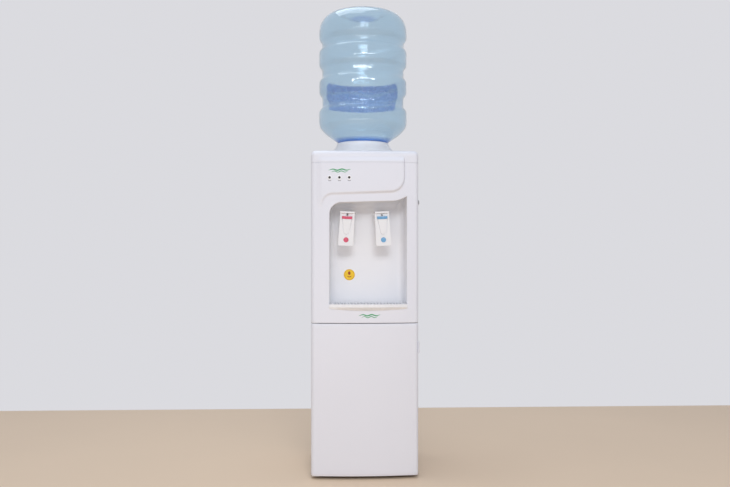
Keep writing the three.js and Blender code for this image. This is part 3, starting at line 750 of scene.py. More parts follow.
FINISH_MAKERS = {
    "white": make_white_plastic,
    "tap": make_tap_plastic,
    "bright": make_bright_plastic_and_lit_copy,
    "niche": make_niche_lit_copy_plastic,
    "tray": make_tray_plastic,
    "painted steel": make_painted_steel,
    "black paint": make_black_paint,
    "black plastic": make_black_plastic,
    "rubber": make_rubber,
    "gasket": make_gasket_rubber,
    "silicone": make_silicone,
    "stainless": make_stainless,
    "foam": make_foam,
    "hot": make_hot,
    "cold": make_cold,
    "green": make_green,
    "cap": make_cap,
    "bottle": make_bottle,
    "label": make_label,
    "mark": make_mark,
    "caption": make_caption,
    "sticker": make_sticker,
    "sticker print": make_sticker_print,
    "lens": make_lens,
    "grey plastic": make_grey_plastic,
}

# ------------------------------------------------------------------ the crowned front


def crown_at(x):
    """How far back from the front's outermost line the crowned face lies at x."""
    reach = HALF - bpy.context.scene.cabinet.edge_radius
    return FACE_Y - CROWN * (1 - (x / reach) ** 2)


def front_path(back, pitch=0.0022):
    """The front in plan, from the back of its left side to the back of its right side."""
    radius = bpy.context.scene.cabinet.edge_radius
    reach = HALF - radius
    corner = arc((-reach, FACE_Y + radius), radius, 180, 264, 8)
    sides = max(2, round((back - FACE_Y - radius) / 0.004))
    side = [(-HALF, back + (FACE_Y + radius - back) * i / sides) for i in range(sides)]
    steps = round(2 * (reach - 0.002) / pitch)
    face = []
    for i in range(steps + 1):
        x = (reach - 0.002) * (2 * i / steps - 1)
        face.append((x, crown_at(x)))
    left = [*side, *corner]
    return [*left, *face, *((-x, y) for x, y in reversed(left))]


BROW_EDGE_X = 0.1155  # the brow's upright right-hand edge
BROW_FADE_X = -0.118  # where it has sunk into the panel
BROW_RIGHT = (0.0715, 0.8647, 0.044)  # x, z and radius of its right-hand sweep
BROW_LEFT = (-0.094, 0.7907, 0.024)  # x, z and radius of its left-hand sweep
BROW_STEP = 0.0045  # width of the step at its upright edge
BROW_SLOPE = 0.0080  # width of the step along its lower edge
BROW_START = 0.55  # share of its rise that it has at its left-hand sweep


def inside_brow(x, z):
    """How far inside the brow's edge a point of the front lies."""
    right_x, right_z, right_radius = BROW_RIGHT
    left_x, left_z, left_radius = BROW_LEFT
    if x > right_x and z > right_z:
        return BROW_EDGE_X - x
    if x > right_x:
        return right_radius - math.hypot(x - right_x, z - right_z)
    if x < left_x:
        return math.hypot(x - left_x, max(z - left_z, 0)) - left_radius
    level = left_z + left_radius
    fall = (right_z - right_radius - level) / (right_x - left_x)
    return z - (level + (x - left_x) * fall)


def brow_at(x, z):
    """How proud the front stands at a point."""
    rise = bpy.context.scene.cabinet.brow_rise
    share = max((x - BROW_FADE_X) / (BROW_EDGE_X - BROW_FADE_X), 0.0)
    start = smoothstep((x + 0.143) / 0.022) * smoothstep((z - 0.775) / 0.035)
    turn = smoothstep((x - BROW_RIGHT[0]) / (BROW_EDGE_X - BROW_RIGHT[0]))
    width = BROW_SLOPE + (BROW_STEP - BROW_SLOPE) * turn
    return (
        rise
        * (BROW_START * start + (1 - BROW_START) * share)
        * smoothstep(inside_brow(x, z) / width)
    )


def front_at(x, z):
    """The y of the front's face."""
    return crown_at(x) - brow_at(x, z)


NICHE_TOP = 0.796
NICHE_FLARE_TOP = 0.812
NICHE_LEFT = -0.102
NICHE_RIGHT = 0.121
NICHE_BOTTOM = 0.490
NICHE_CORNER = 0.032
NICHE_FLARE = 0.040
NICHE_TILT = 0.030  # its upper edge climbs a little to the right
NICHE_FOOT_FILLET = 0.005  # rounding at the foot of its back wall


def niche_outline(margin=0.0):
    """The niche's opening from the front, grown by a margin."""
    radius = NICHE_CORNER + margin
    centre = (NICHE_LEFT + NICHE_CORNER, NICHE_TOP - NICHE_CORNER)
    corner = arc(centre, radius, 180, 90, 12)
    flare = []
    for i in range(13):
        t = i / 12
        x = NICHE_RIGHT - NICHE_FLARE * (1 - t) + margin * t
        lift = (NICHE_FLARE_TOP - NICHE_TOP - 0.0015) * t**2.2
        climb = NICHE_TILT * x * (1 - t * t)
        flare.append((x, NICHE_TOP + 0.0015 * smoothstep(t + 0.2) + lift + climb + margin))
    left, right = NICHE_LEFT - margin, NICHE_RIGHT + margin
    bottom = NICHE_BOTTOM - max(margin, -NICHE_FOOT_FILLET)
    corner = [(x, z + NICHE_TILT * x) for x, z in corner]
    return [(left, bottom), *corner, *flare, (right, bottom)]


def niche_back_at(x):
    """The y of the niche's convex back wall."""
    return FACE_Y + 0.080 + 0.012 * (x / 0.110) ** 2


def knotted(knots, pitches):
    """Places along a line that include every knot, a pitch apart in each stretch."""
    places = [knots[0]]
    for a, b, pitch in zip(knots, knots[1:], pitches):
        steps = max(1, round((b - a) / pitch))
        places += [a + (b - a) * (i + 1) / steps for i in range(steps)]
    return places


def front_skin(path, levels, depth_at, lip=0.0016):
    """A front shell: the plan path at each level, with its top and bottom edges turned in."""
    low = []
    for degrees in (90, 65, 40, 15):
        angle = math.radians(degrees)
        low.append((levels[0] + lip * (1 - math.sin(angle)), lip * (1 - math.cos(angle))))
    high = [(levels[-1] - (z - levels[0]), inset) for z, inset in reversed(low)]
    inner = [(z, 0.0) for z in levels if levels[0] + lip < z < levels[-1] - lip]
    sections = []
    for z, inset in [*low, *inner, *high]:
        section = []
        for x, y in path:
            shrink = 1 - inset / HALF
            raised = depth_at(x, z) if abs(x) < HALF - 0.006 else 0.0
            section.append(Vector((x * shrink, y - raised + inset, z)))
        sections.append(section)
    return lofted(sections, closed=False)


def open_hole(bm, outline, rim, depth):
    """Opens a hole in a front skin, and turns its edge in with a rounded rim."""
    edge = [Vector(p) for p in evenly(outline(rim), 900)]
    inner = [Vector(p) for p in evenly(outline(0), 900)]
    inside = [f for f in bm.faces if holds(edge, f.calc_center_median())]
    bmesh.ops.delete(bm, geom=inside, context="FACES")
    loop = [e for e in bm.edges if e.is_boundary and near_outline(e, edge)]
    tree, inner_tree = nearest(edge), nearest(inner)
    verts = {v for e in loop for v in e.verts}
    ways = {}
    for vert in verts:
        x, z = edge[tree.find((vert.co.x, vert.co.z, 0))[1]]
        vert.co = Vector((x, front_at(x, z), z))
    for degrees in (30, 60, 90):
        grown = bmesh.ops.extrude_edge_only(bm, edges=loop)["geom"]
        loop = [e for e in grown if isinstance(e, bmesh.types.BMEdge) and e.is_boundary]
        for vert in {v for e in loop for v in e.verts}:
            ways[vert] = degrees
    turn_in(bm, ways, edge, inner, tree, inner_tree, rim)
    grown = bmesh.ops.extrude_edge_only(bm, edges=loop)["geom"]
    last = {v for v in grown if isinstance(v, bmesh.types.BMVert)}
    bmesh.ops.translate(bm, verts=list(last), vec=(0, depth, 0))


def turn_in(bm, ways, edge, inner, tree, inner_tree, rim):
    """Places a hole's rim verts round a quarter turn from the face to the hole's wall."""
    for vert, degrees in ways.items():
        start = edge[tree.find((vert.co.x, vert.co.z, 0))[1]]
        x, z = start
        goal = inner[inner_tree.find((x, z, 0))[1]]
        angle = math.radians(degrees)
        across = start.lerp(goal, math.sin(angle))
        vert.co = Vector((across.x, front_at(x, z) + rim * (1 - math.cos(angle)), across.y))


def nearest(points):
    """A tree that finds the nearest of some 2-D points."""
    tree = kdtree.KDTree(len(points))
    for i, (a, b) in enumerate(points):
        tree.insert((a, b, 0), i)
    tree.balance()
    return tree


def holds(outline, point):
    """Whether a closed outline in x and z holds a point in front of or behind it."""
    inside = False
    for (x0, z0), (x1, z1) in zip(outline, [*outline[1:], outline[0]]):
        if (z0 > point.z) != (z1 > point.z):
            if point.x < x0 + (point.z - z0) / (z1 - z0) * (x1 - x0):
                inside = not inside
    return inside


def near_outline(edge, outline):
    """Whether a boundary edge is that of the hole and not the skin's own."""
    lows, highs = PANEL_LOW.z + 0.01, PANEL_HIGH.z - 0.01
    return all(lows < v.co.z < highs and abs(v.co.x) < HALF - 0.004 for v in edge.verts)


class DISPENSER_OT_front_panel(bpy.types.Operator):
    """Builds the upper front panel, with its brow and the opening of the niche"""

    bl_idname = "dispenser.front_panel"
    bl_label = "Front Panel"

    def execute(self, context):
        settings = context.scene.cabinet
        rim = 0.002
        knots = [-0.141, NICHE_LEFT - rim, 0.108, 0.117, NICHE_RIGHT + rim, 0.141]
        xs = knotted(knots, [0.0022, 0.0022, 0.0009, 0.0022, 0.0022])
        path = front_path(RETURN_Y)
        ends = [p for p in path if abs(p[0]) > 0.1415]
        left = [p for p in ends if p[0] < 0]
        right = [p for p in ends if p[0] > 0]
        path = [*left, *((x, crown_at(x)) for x in xs), *right]
        levels = knotted(
            [PANEL_FOOT, NICHE_BOTTOM - rim, 0.812, 0.832, PANEL_TOP],
            [0.003, 0.0024, 0.0014, 0.0022],
        )
        bm = front_skin(path, levels, brow_at, 0.0008)
        open_hole(bm, niche_outline, rim, 0.005)
        made = piece(
            "upper_front_panel", bm, "cabinet", finish("white"), ["front_panel"], 50
        )
        thicken(made, settings.wall - 0.0005)
        return {"FINISHED"}


class DISPENSER_OT_niche(bpy.types.Operator):
    """Builds the recess that the cups go in, with its convex back wall and soft corners"""

    bl_idname = "dispenser.niche"
    bl_label = "Niche"

    def execute(self, context):
        settings = context.scene.cabinet
        fillet = settings.niche_fillet
        count = 260
        play = 0.0003
        sections = []

        def ring(margin, depth_at):
            points = evenly(niche_outline(margin), count)
            sections.append([Vector((x, depth_at(x, z), z)) for x, z in points])

        for t in (0.0, 0.03, 0.25, 0.5, 0.75, 1.0):
            ring(
                -play - 0.0012 * t,
                lambda x, z, t=t: (front_at(x, z) + 0.0045) * (1 - t)
                + (niche_back_at(x) - fillet) * t,
            )
        for i in range(1, 9):
            angle = math.radians(90 * i / 8)
            margin = -play - 0.0012 - fillet * (1 - math.cos(angle))
            ring(margin, lambda x, z, a=angle: niche_back_at(x) - fillet * (1 - math.sin(a)))
        last = sections[-1]
        middle = Vector(((NICHE_LEFT + NICHE_RIGHT) / 2, 0, (NICHE_TOP + NICHE_BOTTOM) / 2))
        rings = 22
        for i in range(1, rings + 1):
            share = 1 - i / rings
            shrunk = []
            for p in last:
                x = middle.x + (p.x - middle.x) * share
                z = middle.z + (p.z - middle.z) * share
                shrunk.append(Vector((x, niche_back_at(x), z)))
            sections.append(shrunk)
        bm = lofted(sections)
        toward_front(bm)
        # The niche finish is painted light: a lighter copy of the white moulding for the shaded recess.
        made = piece(
            "niche_recess", bm, "cabinet", finish("niche"), ["niche_liner"], 50
        )
        thicken(made, settings.wall - 0.0003)
        return {"FINISHED"}


def toward_front(bm):
    """Turns a skin's faces so that the ones square to Y look to the front."""
    facing = sum(f.normal.y * f.calc_area() for f in bm.faces)
    if facing > 0:
        bmesh.ops.reverse_faces(bm, faces=bm.faces)


class DISPENSER_OT_door(bpy.types.Operator):
    """Builds the cabinet's door: crowned skin, pull tab, inner panel and seal"""

    bl_idname = "dispenser.door"
    bl_label = "Door"

    def execute(self, context):
        settings = context.scene.cabinet
        levels = knotted([DOOR_LOW.z, DOOR_TOP], [0.01])
        skin = front_skin(front_path(DOOR_HIGH.y, 0.006), levels, lambda x, z: 0.0, 0.0012)
        made = piece(
            "door_skin", skin, "door", finish("white"), ["door_panel"], 50
        )
        thicken(made, settings.wall)
        self.pull_tab()
        self.inner_panel()
        return {"FINISHED"}

    def pull_tab(self):
        """A thin finger pull on the door's right-hand edge, hollow behind."""
        low, high = (HALF - 0.0008, FACE_Y + 0.003), (HALF + 0.0032, FACE_Y + 0.017)
        outline = [
            (low[0], low[1]),
            (high[0] - 0.001, low[1]),
            (high[0], low[1] + 0.0015),
            (high[0], low[1] + 0.0045),
            (low[0] + 0.0022, high[1] - 0.003),
            (low[0], high[1]),
        ]
        bm = cut_out(outline, 0.360, 0.392, "plan")
        made = piece("door_pull_tab", bm, "door", finish("white"))
        ease_edges(made, 0.0008)

    def inner_panel(self):
        """The pressed panel inside the door, with a raised middle and a magnet strip's seal."""
        low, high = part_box("door_liner")
        half_w, half_h = (high.x - low.x) / 2, (high.z - low.z) / 2
        centre = ((low.x + high.x) / 2, (low.z + high.z) / 2)
        thick = high.y - low.y
        pressing = [(0.139, 0.2), (0.06, 0.2), (0.0006, 0), (0, 0.2), (0, 0.8), (0.0006, 1)]
        pressing += [(0.026, 1), (0.028, 1.4), (0.031, 2.9), (0.033, 3.2), (0.060, 3.2)]
        pressing += [(0.062, 3.0), (0.064, 2.2), (0.067, 1.9), (0.095, 1.9), (0.139, 1.9)]
        sections = []
        for inset, share in pressing:
            outline = rounded_rectangle(
                centre, half_w - inset, half_h - inset, max(0.0135 - inset * 0.1, 0.0008), 6
            )
            sections.append([Vector((x, low.y + share * thick, z)) for x, z in outline])
        bm = lofted(sections)
        ends = [e for e in bm.edges if e.is_boundary]
        bmesh.ops.holes_fill(bm, edges=ends)
        bmesh.ops.recalc_face_normals(bm, faces=bm.faces)
        piece(
            "door_inner_panel", bm, "door", finish("white"), ["door_liner"], 30
        )
        low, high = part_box("door_gasket")
        made = piece(
            "door_seal",
            ring_frame(low, high, 0.009),
            "door",
            finish("gasket"),
            ["door_gasket"],
            60,
        )


def ring_frame(low, high, width):
    """A soft-edged frame of even width whose section is a ribbed cushion."""
    half_w, half_h = (high.x - low.x) / 2, (high.z - low.z) / 2
    centre = ((low.x + high.x) / 2, (low.z + high.z) / 2)
    section = [(0, 0), (0, 0.5), (0.12, 0.9), (0.3, 1), (0.42, 0.8), (0.58, 0.8), (0.7, 1)]
    section += [(0.88, 0.9), (1, 0.5), (1, 0)]
    sections = []
    for across, up in [*section, section[0]]:
        inset = across * width
        radius = 0.012 - min(inset, 0.009)
        outline = rounded_rectangle(centre, half_w - inset, half_h - inset, radius)
        y = low.y + up * (high.y - low.y)
        sections.append([Vector((x, y, z)) for x, z in outline])
    return lofted(sections)


def rounded_rectangle(centre, half_w, half_h, radius, steps=5):
    """A rectangle with rounded corners, anticlockwise."""
    corners = ((1, 1, 0), (-1, 1, 90), (-1, -1, 180), (1, -1, 270))
    outline = []
    for sx, sz, start in corners:
        middle = (centre[0] + sx * (half_w - radius), centre[1] + sz * (half_h - radius))
        outline += arc(middle, radius, start, start + 90, steps)
    return outline


# ------------------------------------------------------------------ more shaping


def carved(bm, cutter, operation="DIFFERENCE"):
    """Cuts one closed mesh from another, or joins it on."""
    scene = bpy.context.scene
    made = []
    for part in (bm, cutter):
        mesh = bpy.data.meshes.new("carving")
        part.to_mesh(mesh)
        part.free()
        made.append(bpy.data.objects.new("carving", mesh))
        scene.collection.objects.link(made[-1])
    whole, tool = made
    cut = whole.modifiers.new("cut", "BOOLEAN")
    cut.operation = operation
    cut.solver = "EXACT"
    cut.use_self = True
    cut.object = tool
    result = bpy.data.meshes.new_from_object(
        whole.evaluated_get(bpy.context.evaluated_depsgraph_get())
    )
    bm = bmesh.new()
    bm.from_mesh(result)
    meshes = [result, whole.data, tool.data]
    for spent in made:
        bpy.data.objects.remove(spent)
    for mesh in meshes:
        bpy.data.meshes.remove(mesh)
    bmesh.ops.dissolve_limit(bm, angle_limit=0.002, verts=bm.verts, edges=bm.edges)
    return bm


def pipe(route, radius, sides=12, smooth=0):
    """A round tube with closed ends along a route of 3-D points."""
    route = [Vector(p) for p in route]
    if smooth:
        route = curved(route, smooth)
    ways = []
    for i in range(len(route)):
        before, after = route[max(i - 1, 0)], route[min(i + 1, len(route) - 1)]
        ways.append((after - before).normalized())
    across = ways[0].orthogonal().normalized()
    sections = [[route[0]] * sides]
    for point, way in zip(route, ways):
        across = (across - way * across.dot(way)).normalized()
        up = way.cross(across)
        turn = [2 * math.pi * k / sides for k in range(sides)]
        sections.append([point + (across * math.cos(a) + up * math.sin(a)) * radius for a in turn])
    sections.append([route[-1]] * sides)
    return lofted(sections)


def curved(points, per_stretch):
    """A smooth curve through 3-D points."""
    ends = [points[0], *points, points[-1]]
    dense = []
    for i in range(len(points) - 1):
        p0, p1, p2, p3 = ends[i : i + 4]
        for step in range(per_stretch):
            t = step / per_stretch
            first = 2 * p1 + (p2 - p0) * t
            second = (2 * p0 - 5 * p1 + 4 * p2 - p3) * t * t
            dense.append(0.5 * (first + second + (3 * p1 - p0 - 3 * p2 + p3) * t**3))
    return [*dense, points[-1]]


def stroke(line, half_width, surface, lift=0.00012):
    """A thin printed stroke along a 2-D line, laid on a surface that faces the front."""
    sections = []
    for i, point in enumerate(line):
        way = (line[min(i + 1, len(line) - 1)] - line[max(i - 1, 0)]).normalized()
        side = Vector((-way.y, way.x)) * half_width(i / (len(line) - 1))
        section = []
        for share, rise in ((-1, -0.0003), (-1, lift), (0, lift), (1, lift), (1, -0.0003)):
            x, z = point + side * share
            section.append(Vector((x, surface(x, z) - rise, z)))
        sections.append(section)
    ends = [[section[0].lerp(section[3], 0.5)] * 5 for section in (sections[0], sections[-1])]
    return lofted([ends[0], *sections, ends[1]])


def disc(centre, radius_at, surface, lift=0.00015, rings=6, count=48):
    """A thin printed patch whose edge is given by angle, laid on a surface."""
    sections = []
    for ring in range(rings + 3):
        share = min(ring / rings, 1.0) if ring < rings + 2 else 0.0
        rise = lift if ring <= rings else -0.0003
        section = []
        for i in range(count):
            angle = 2 * math.pi * i / count
            reach = radius_at(angle) * share
            x, z = centre[0] + reach * math.cos(angle), centre[1] + reach * math.sin(angle)
            section.append(Vector((x, surface(x, z) - rise, z)))
        sections.append(section)
    return lofted(sections)


# ------------------------------------------------------------------ top cover, sides and feet


def cover_outline(inset):
    """The top cover in plan, drawn in by an inset, without the brow."""
    radius = bpy.context.scene.cabinet.edge_radius
    reach = HALF - radius
    start, back = FACE_Y + radius, COVER_HIGH.y - radius
    corner = max(radius - inset, 0.0012)
    shift = max(inset - radius + 0.0012, 0.0)
    narrow = 1 - shift / HALF
    xs = knotted([-reach, 0.108, 0.117, reach], [0.004, 0.0009, 0.003])
    front = [(x * narrow, crown_at(x) + inset) for x in xs[1:-1]]
    left = [(x * narrow, y + shift) for x, y in arc((-reach, start), corner, 180, 264, 8)]
    right = [(-x, y) for x, y in reversed(left)]
    side = knotted([start, back], [0.005])[1:-1]
    rear = knotted([-reach, reach], [0.005])[1:-1]
    rear_right = [(x * narrow, y - shift) for x, y in arc((reach, back), corner, 0, 90, 8)]
    rear_left = [(-x, y) for x, y in reversed(rear_right)]
    return [
        *left,
        *front,
        *right,
        *((HALF - inset, y) for y in side),
        *rear_right,
        *((x * narrow, COVER_HIGH.y - inset) for x in reversed(rear)),
        *rear_left,
        *((inset - HALF, y) for y in reversed(side)),
    ]


class DISPENSER_OT_top_cover(bpy.types.Operator):
    """Builds the top cover, rounded over at its edges, with the hole that the seat sits in"""

    bl_idname = "dispenser.top_cover"
    bl_label = "Top Cover"

    def execute(self, context):
        round_over = 0.0145
        hole = 0.0955
        rim = 0.0015
        sections = []
        levels = [(0, 0.0004), (0.0002, 0.0001), (0.0005, 0)]
        levels += [(0.0025 * i, 0) for i in range(1, 8)]
        top = COVER_HIGH.z - COVER_LOW.z
        for i in range(9):
            angle = math.radians(90 * i / 8)
            rise = top - round_over * (1 - math.sin(angle))
            levels.append((rise, round_over * (1 - math.cos(angle))))
        for rise, inset in levels:
            z = COVER_LOW.z + rise
            share = (1 - (inset / round_over) ** 2) * (1 - smoothstep((rise - 0.003) / 0.016))
            ring = []
            for x, y in cover_outline(inset):
                if y < FACE_Y + inset and abs(x) < HALF - 0.014:
                    y -= brow_at(x, z) * share
                ring.append(Vector((x, y, z)))
            sections.append(ring)
        last = sections[-1]
        circle = []
        for point in last:
            way = (point - AXIS).to_2d().normalized()
            circle.append(Vector((*(AXIS.to_2d() + way * (hole + rim)), point.z)))
        for i in range(1, 9):
            sections.append([a.lerp(b, i / 8) for a, b in zip(last, circle)])
        for rise, shrink in ((0.0004, 0.0008), (0.0015, 0.0015), (0.008, 0.0015)):
            ring = []
            for point in circle:
                way = (point - AXIS).to_2d().normalized()
                x, y = AXIS.to_2d() + way * (hole + rim - shrink)
                ring.append(Vector((x, y, point.z - rise)))
            sections.append(ring)
        bm = lofted(sections)
        upward(bm)
        made = piece(
            "top_cover_moulding", bm, "cabinet", finish("white"), ["top_cover"], 50
        )
        thicken(made, context.scene.cabinet.wall - 0.0005)
        return {"FINISHED"}


def upward(bm):
    """Turns a skin's faces so that the ones square to Z look up."""
    if sum(f.normal.z * f.calc_area() for f in bm.faces) < 0:
        bmesh.ops.reverse_faces(bm, faces=bm.faces)


class DISPENSER_OT_feet(bpy.types.Operator):
    """Builds the four rubber feet"""

    bl_idname = "dispenser.feet"
    bl_label = "Feet"

    def execute(self, context):
        for end in ("front", "rear"):
            for side in ("left", "right"):
                node = f"foot_{end}_{side}"
                low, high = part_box(node)
                centre = (low + high) / 2
                top = high.z
                profile = [(0, 0.0012), (0.006, 0.0012), (0.0068, 0), (0.0108, 0), (0.0119, 0.0008)]
                profile += [(0.0124, 0.0022), (0.0130, 0.0052), (0.0124, 0.0058), (0.0132, 0.0064)]
                profile += [(0.0148, top - 0.0014), (0.0144, top), (0, top)]
                bm = turned(profile, centre, 48)
                piece(f"rubber_{node}", bm, "cabinet", finish("rubber"), [node], 50)
        return {"FINISHED"}


# ------------------------------------------------------------------ bottle and its seat

# The bottle's outside, (radius, height) from its mouth up to the middle of its base.
BOTTLE_OUTSIDE = [
    (0.0275, 0.8942), (0.0275, 0.940), (0.032, 0.950), (0.042, 0.961), (0.057, 0.9715),
    (0.075, 0.984), (0.090, 0.9945), (0.110, 1.008), (0.125, 1.0225), (0.1315, 1.033),
    (0.1343, 1.044), (0.1345, 1.060), (0.1343, 1.077), (0.1305, 1.0855), (0.1254, 1.093),
    (0.1247, 1.107), (0.1254, 1.121), (0.1302, 1.129), (0.1336, 1.1365), (0.1341, 1.152),
    (0.1336, 1.168), (0.1305, 1.1755), (0.1256, 1.183), (0.1250, 1.195), (0.1256, 1.207),
    (0.1305, 1.2145), (0.1341, 1.2225), (0.1345, 1.241), (0.1341, 1.259), (0.1308, 1.2665),
    (0.1262, 1.273), (0.1256, 1.281), (0.1262, 1.289), (0.1308, 1.2965), (0.1340, 1.3045),
    (0.1343, 1.314), (0.1338, 1.326), (0.1308, 1.343), (0.1220, 1.360), (0.1080, 1.3732),
    (0.0900, 1.3812), (0.0740, 1.3838), (0.0620, 1.3818), (0.0520, 1.3735), (0.0430, 1.3690),
    (0.0200, 1.3672), (0, 1.3668),
]


def bottle_radius_at(z):
    """The bottle's radius at a height on its side."""
    for (r0, z0), (r1, z1) in zip(BOTTLE_OUTSIDE, BOTTLE_OUTSIDE[1:]):
        if z0 <= z <= z1:
            return r0 + (r1 - r0) * (z - z0) / (z1 - z0)
    return BOTTLE_OUTSIDE[0][0]


class DISPENSER_OT_bottle(bpy.types.Operator):
    """Builds the inverted bottle with its ribs, punt, cap and printed label"""

    bl_idname = "dispenser.bottle"
    bl_label = "Bottle"

    def execute(self, context):
        settings = context.scene.bottle
        profile = [tuple(p) for p in rounded(BOTTLE_OUTSIDE, 4)]
        profile[-1] = (0, profile[-1][1])
        bm = turned(profile, AXIS, settings.steps)
        made = piece(
            "bottle_shell", bm, "water_bottle", finish("bottle"), ["bottle"], 60
        )
        thicken(made, settings.wall)
        self.label(context)
        self.cap(context)
        return {"FINISHED"}

    def label(self, context):
        """A film that follows the bottle's side round its back."""
        low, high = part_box("bottle_label")
        reach = math.radians(58)
        stand_off = 0.0004
        film = 0.00025
        near, far = [], []
        rows = 34
        for i in range(rows + 1):
            z = low.z + (high.z + 0.009 - low.z) * i / rows
            near.append((bottle_radius_at(z) + stand_off, z))
            far.append((bottle_radius_at(z) + stand_off + film, z))
        loop = [*far, *reversed(near), far[0]]
        start = math.radians(90) - reach
        bm = turned(loop, AXIS, 72, start=start, sweep=2 * reach)
        piece("label_film", bm, "water_bottle", finish("label"), ["bottle_label"], 60)

    def cap(self, context):
        """The snap-on cap round the mouth, with its pull skirt and grip ribs."""
        low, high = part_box("bottle_cap")
        outer = high.x - AXIS.x
        profile = [
            (0.0094, low.z), (outer - 0.0016, low.z), (outer - 0.0004, low.z + 0.0006),
            (outer, low.z + 0.002), (outer, low.z + 0.024), (outer - 0.0006, low.z + 0.0252),
            (outer, low.z + 0.0264), (outer, high.z - 0.001), (outer - 0.0008, high.z),
            (0.0282, high.z), (0.0280, low.z + 0.0048), (0.0106, low.z + 0.0048),
            (0.0106, low.z + 0.019), (0.0094, low.z + 0.019), (0.0094, low.z),
        ]
        bm = turned(profile, AXIS, 96)
        piece("snap_cap", bm, "water_bottle", finish("cap"), ["bottle_cap"], 35)


class DISPENSER_OT_seat(bpy.types.Operator):
    """Builds the collar that the bottle stands in"""

    bl_idname = "dispenser.seat"
    bl_label = "Bottle Seat"

    def execute(self, context):
        foot = COVER_HIGH.z + 0.0003
        profile = [
            (0.0748, 0.9818), (0.0753, 0.9828), (0.0762, 0.9832), (0.0774, 0.9830),
            (0.0785, 0.9820), (0.0793, 0.9798), (0.0803, 0.9765), (0.0822, 0.9728),
            (0.0860, 0.9672), (0.0905, 0.9618), (0.0945, 0.9573), (0.0974, 0.9534),
            (0.0984, 0.9516), (0.0979, 0.9510), (0.0988, 0.9502), (0.0998, 0.9480),
            (0.1003, 0.9460), (0.1004, foot), (0.0946, foot), (0.0946, 0.9320), (0.0924, 0.9320),
            (0.0924, 0.9470), (0.0840, 0.9620), (0.0776, 0.9722), (0.0750, 0.9715),
            (0.0675, 0.9630), (0.0515, 0.9520), (0.0385, 0.9413), (0.0365, 0.9370),
            (0.0365, 0.8810), (0.0086, 0.8810), (0.0086, 0.8840), (0.0338, 0.8840),
            (0.0340, 0.8850), (0.0340, 0.9380), (0.0365, 0.9445), (0.0500, 0.9550),
            (0.0660, 0.9660), (0.0728, 0.9748), (0.0744, 0.9790), (0.0748, 0.9818),
        ]
        bm = turned(profile, AXIS, 128)
        # The bright finish is painted light here: a lighter copy of the white moulding on the collar, which sits in the
        # bottle's shadow.
        piece(
            "seat_collar", bm, "bottle_seat", finish("bright"), ["bottle_collar"], 28
        )
        return {"FINISHED"}


# ------------------------------------------------------------------ taps

TAP_X = 0.0455
TAP_ROLL = 0.05  # the two levers spread apart towards their feet
TAP_Z = 0.757  # top of a tap's barrel
BARREL_Y = -0.032
PIVOT_Y = -0.046
SHANK_Z = -0.018
LEVER_LEAN = -0.08


def tap_place(side):
    """Where a tap stands on the niche's convex wall, square to it."""
    x = side * TAP_X
    slope = 2 * 0.012 * x / 0.110**2
    shank = Matrix.Translation((x, niche_back_at(x), TAP_Z + SHANK_Z))
    turn = Matrix.Rotation(math.atan(slope), 4, "Z") @ Matrix.Rotation(-side * TAP_ROLL, 4, "Y")
    return shank @ turn @ Matrix.Translation((0, 0, -SHANK_Z))


def leaning():
    """The tilt of a lever's face about its top edge."""
    hinge = Vector((0, -0.060, 0.012))
    turn = Matrix.Rotation(LEVER_LEAN, 4, "X")
    return Matrix.Translation(hinge) @ turn @ Matrix.Translation(-hinge)


def tap_barrel():
    """The barrel with its nozzle, shank, wall flange and two hinge ears."""
    barrel = turned(
        [
            (0.0056, -0.066), (0.0078, -0.066), (0.0086, -0.0652), (0.0104, -0.0512),
            (0.0122, -0.0505), (0.0137, -0.0495), (0.0141, -0.0475), (0.0141, -0.0022),
            (0.0136, -0.0008), (0.0126, -0.0001), (0.0100, 0), (0.0096, -0.001), (0.0096, -0.044),
            (0.0056, -0.045), (0.0056, -0.066),
        ],
        (0, BARREL_Y, 0),
        56,
    )
    shank = turned(
        [
            (0, -0.020), (0.0080, -0.020), (0.0080, -0.0045), (0.0135, -0.0045),
            (0.0148, -0.0040), (0.0150, -0.0030), (0.0150, -0.0005), (0.0080, -0.0005),
            (0.0080, 0.0098), (0.0045, 0.0098), (0.0045, -0.010), (0, -0.010),
        ],
        (0, 0, SHANK_Z),
        48,
        along="Y",
    )
    ears = []
    for side in (-1, 1):
        outline = [(-0.034, -0.010), (PIVOT_Y - 0.004, -0.010)]
        outline += arc((PIVOT_Y, 0.0015), 0.0042, 180, 60, 6)
        outline += [(-0.034, 0.0055)]
        inner, outer = side * 0.007, side * 0.011
        ears.append(cut_out(outline, min(inner, outer), max(inner, outer), "side"))
    return together(barrel, shank, *ears)


def tongue_outline(margin=0.0, top=-0.0110, bottom=-0.0465):
    """The tapered tongue down a lever's face, grown by a margin."""
    half_top, half_end = 0.0138 + margin, 0.0080 + margin
    end = arc((0, bottom), half_end, 180, 360, 16)
    return [(-half_top, top), *end, (half_top, top)]


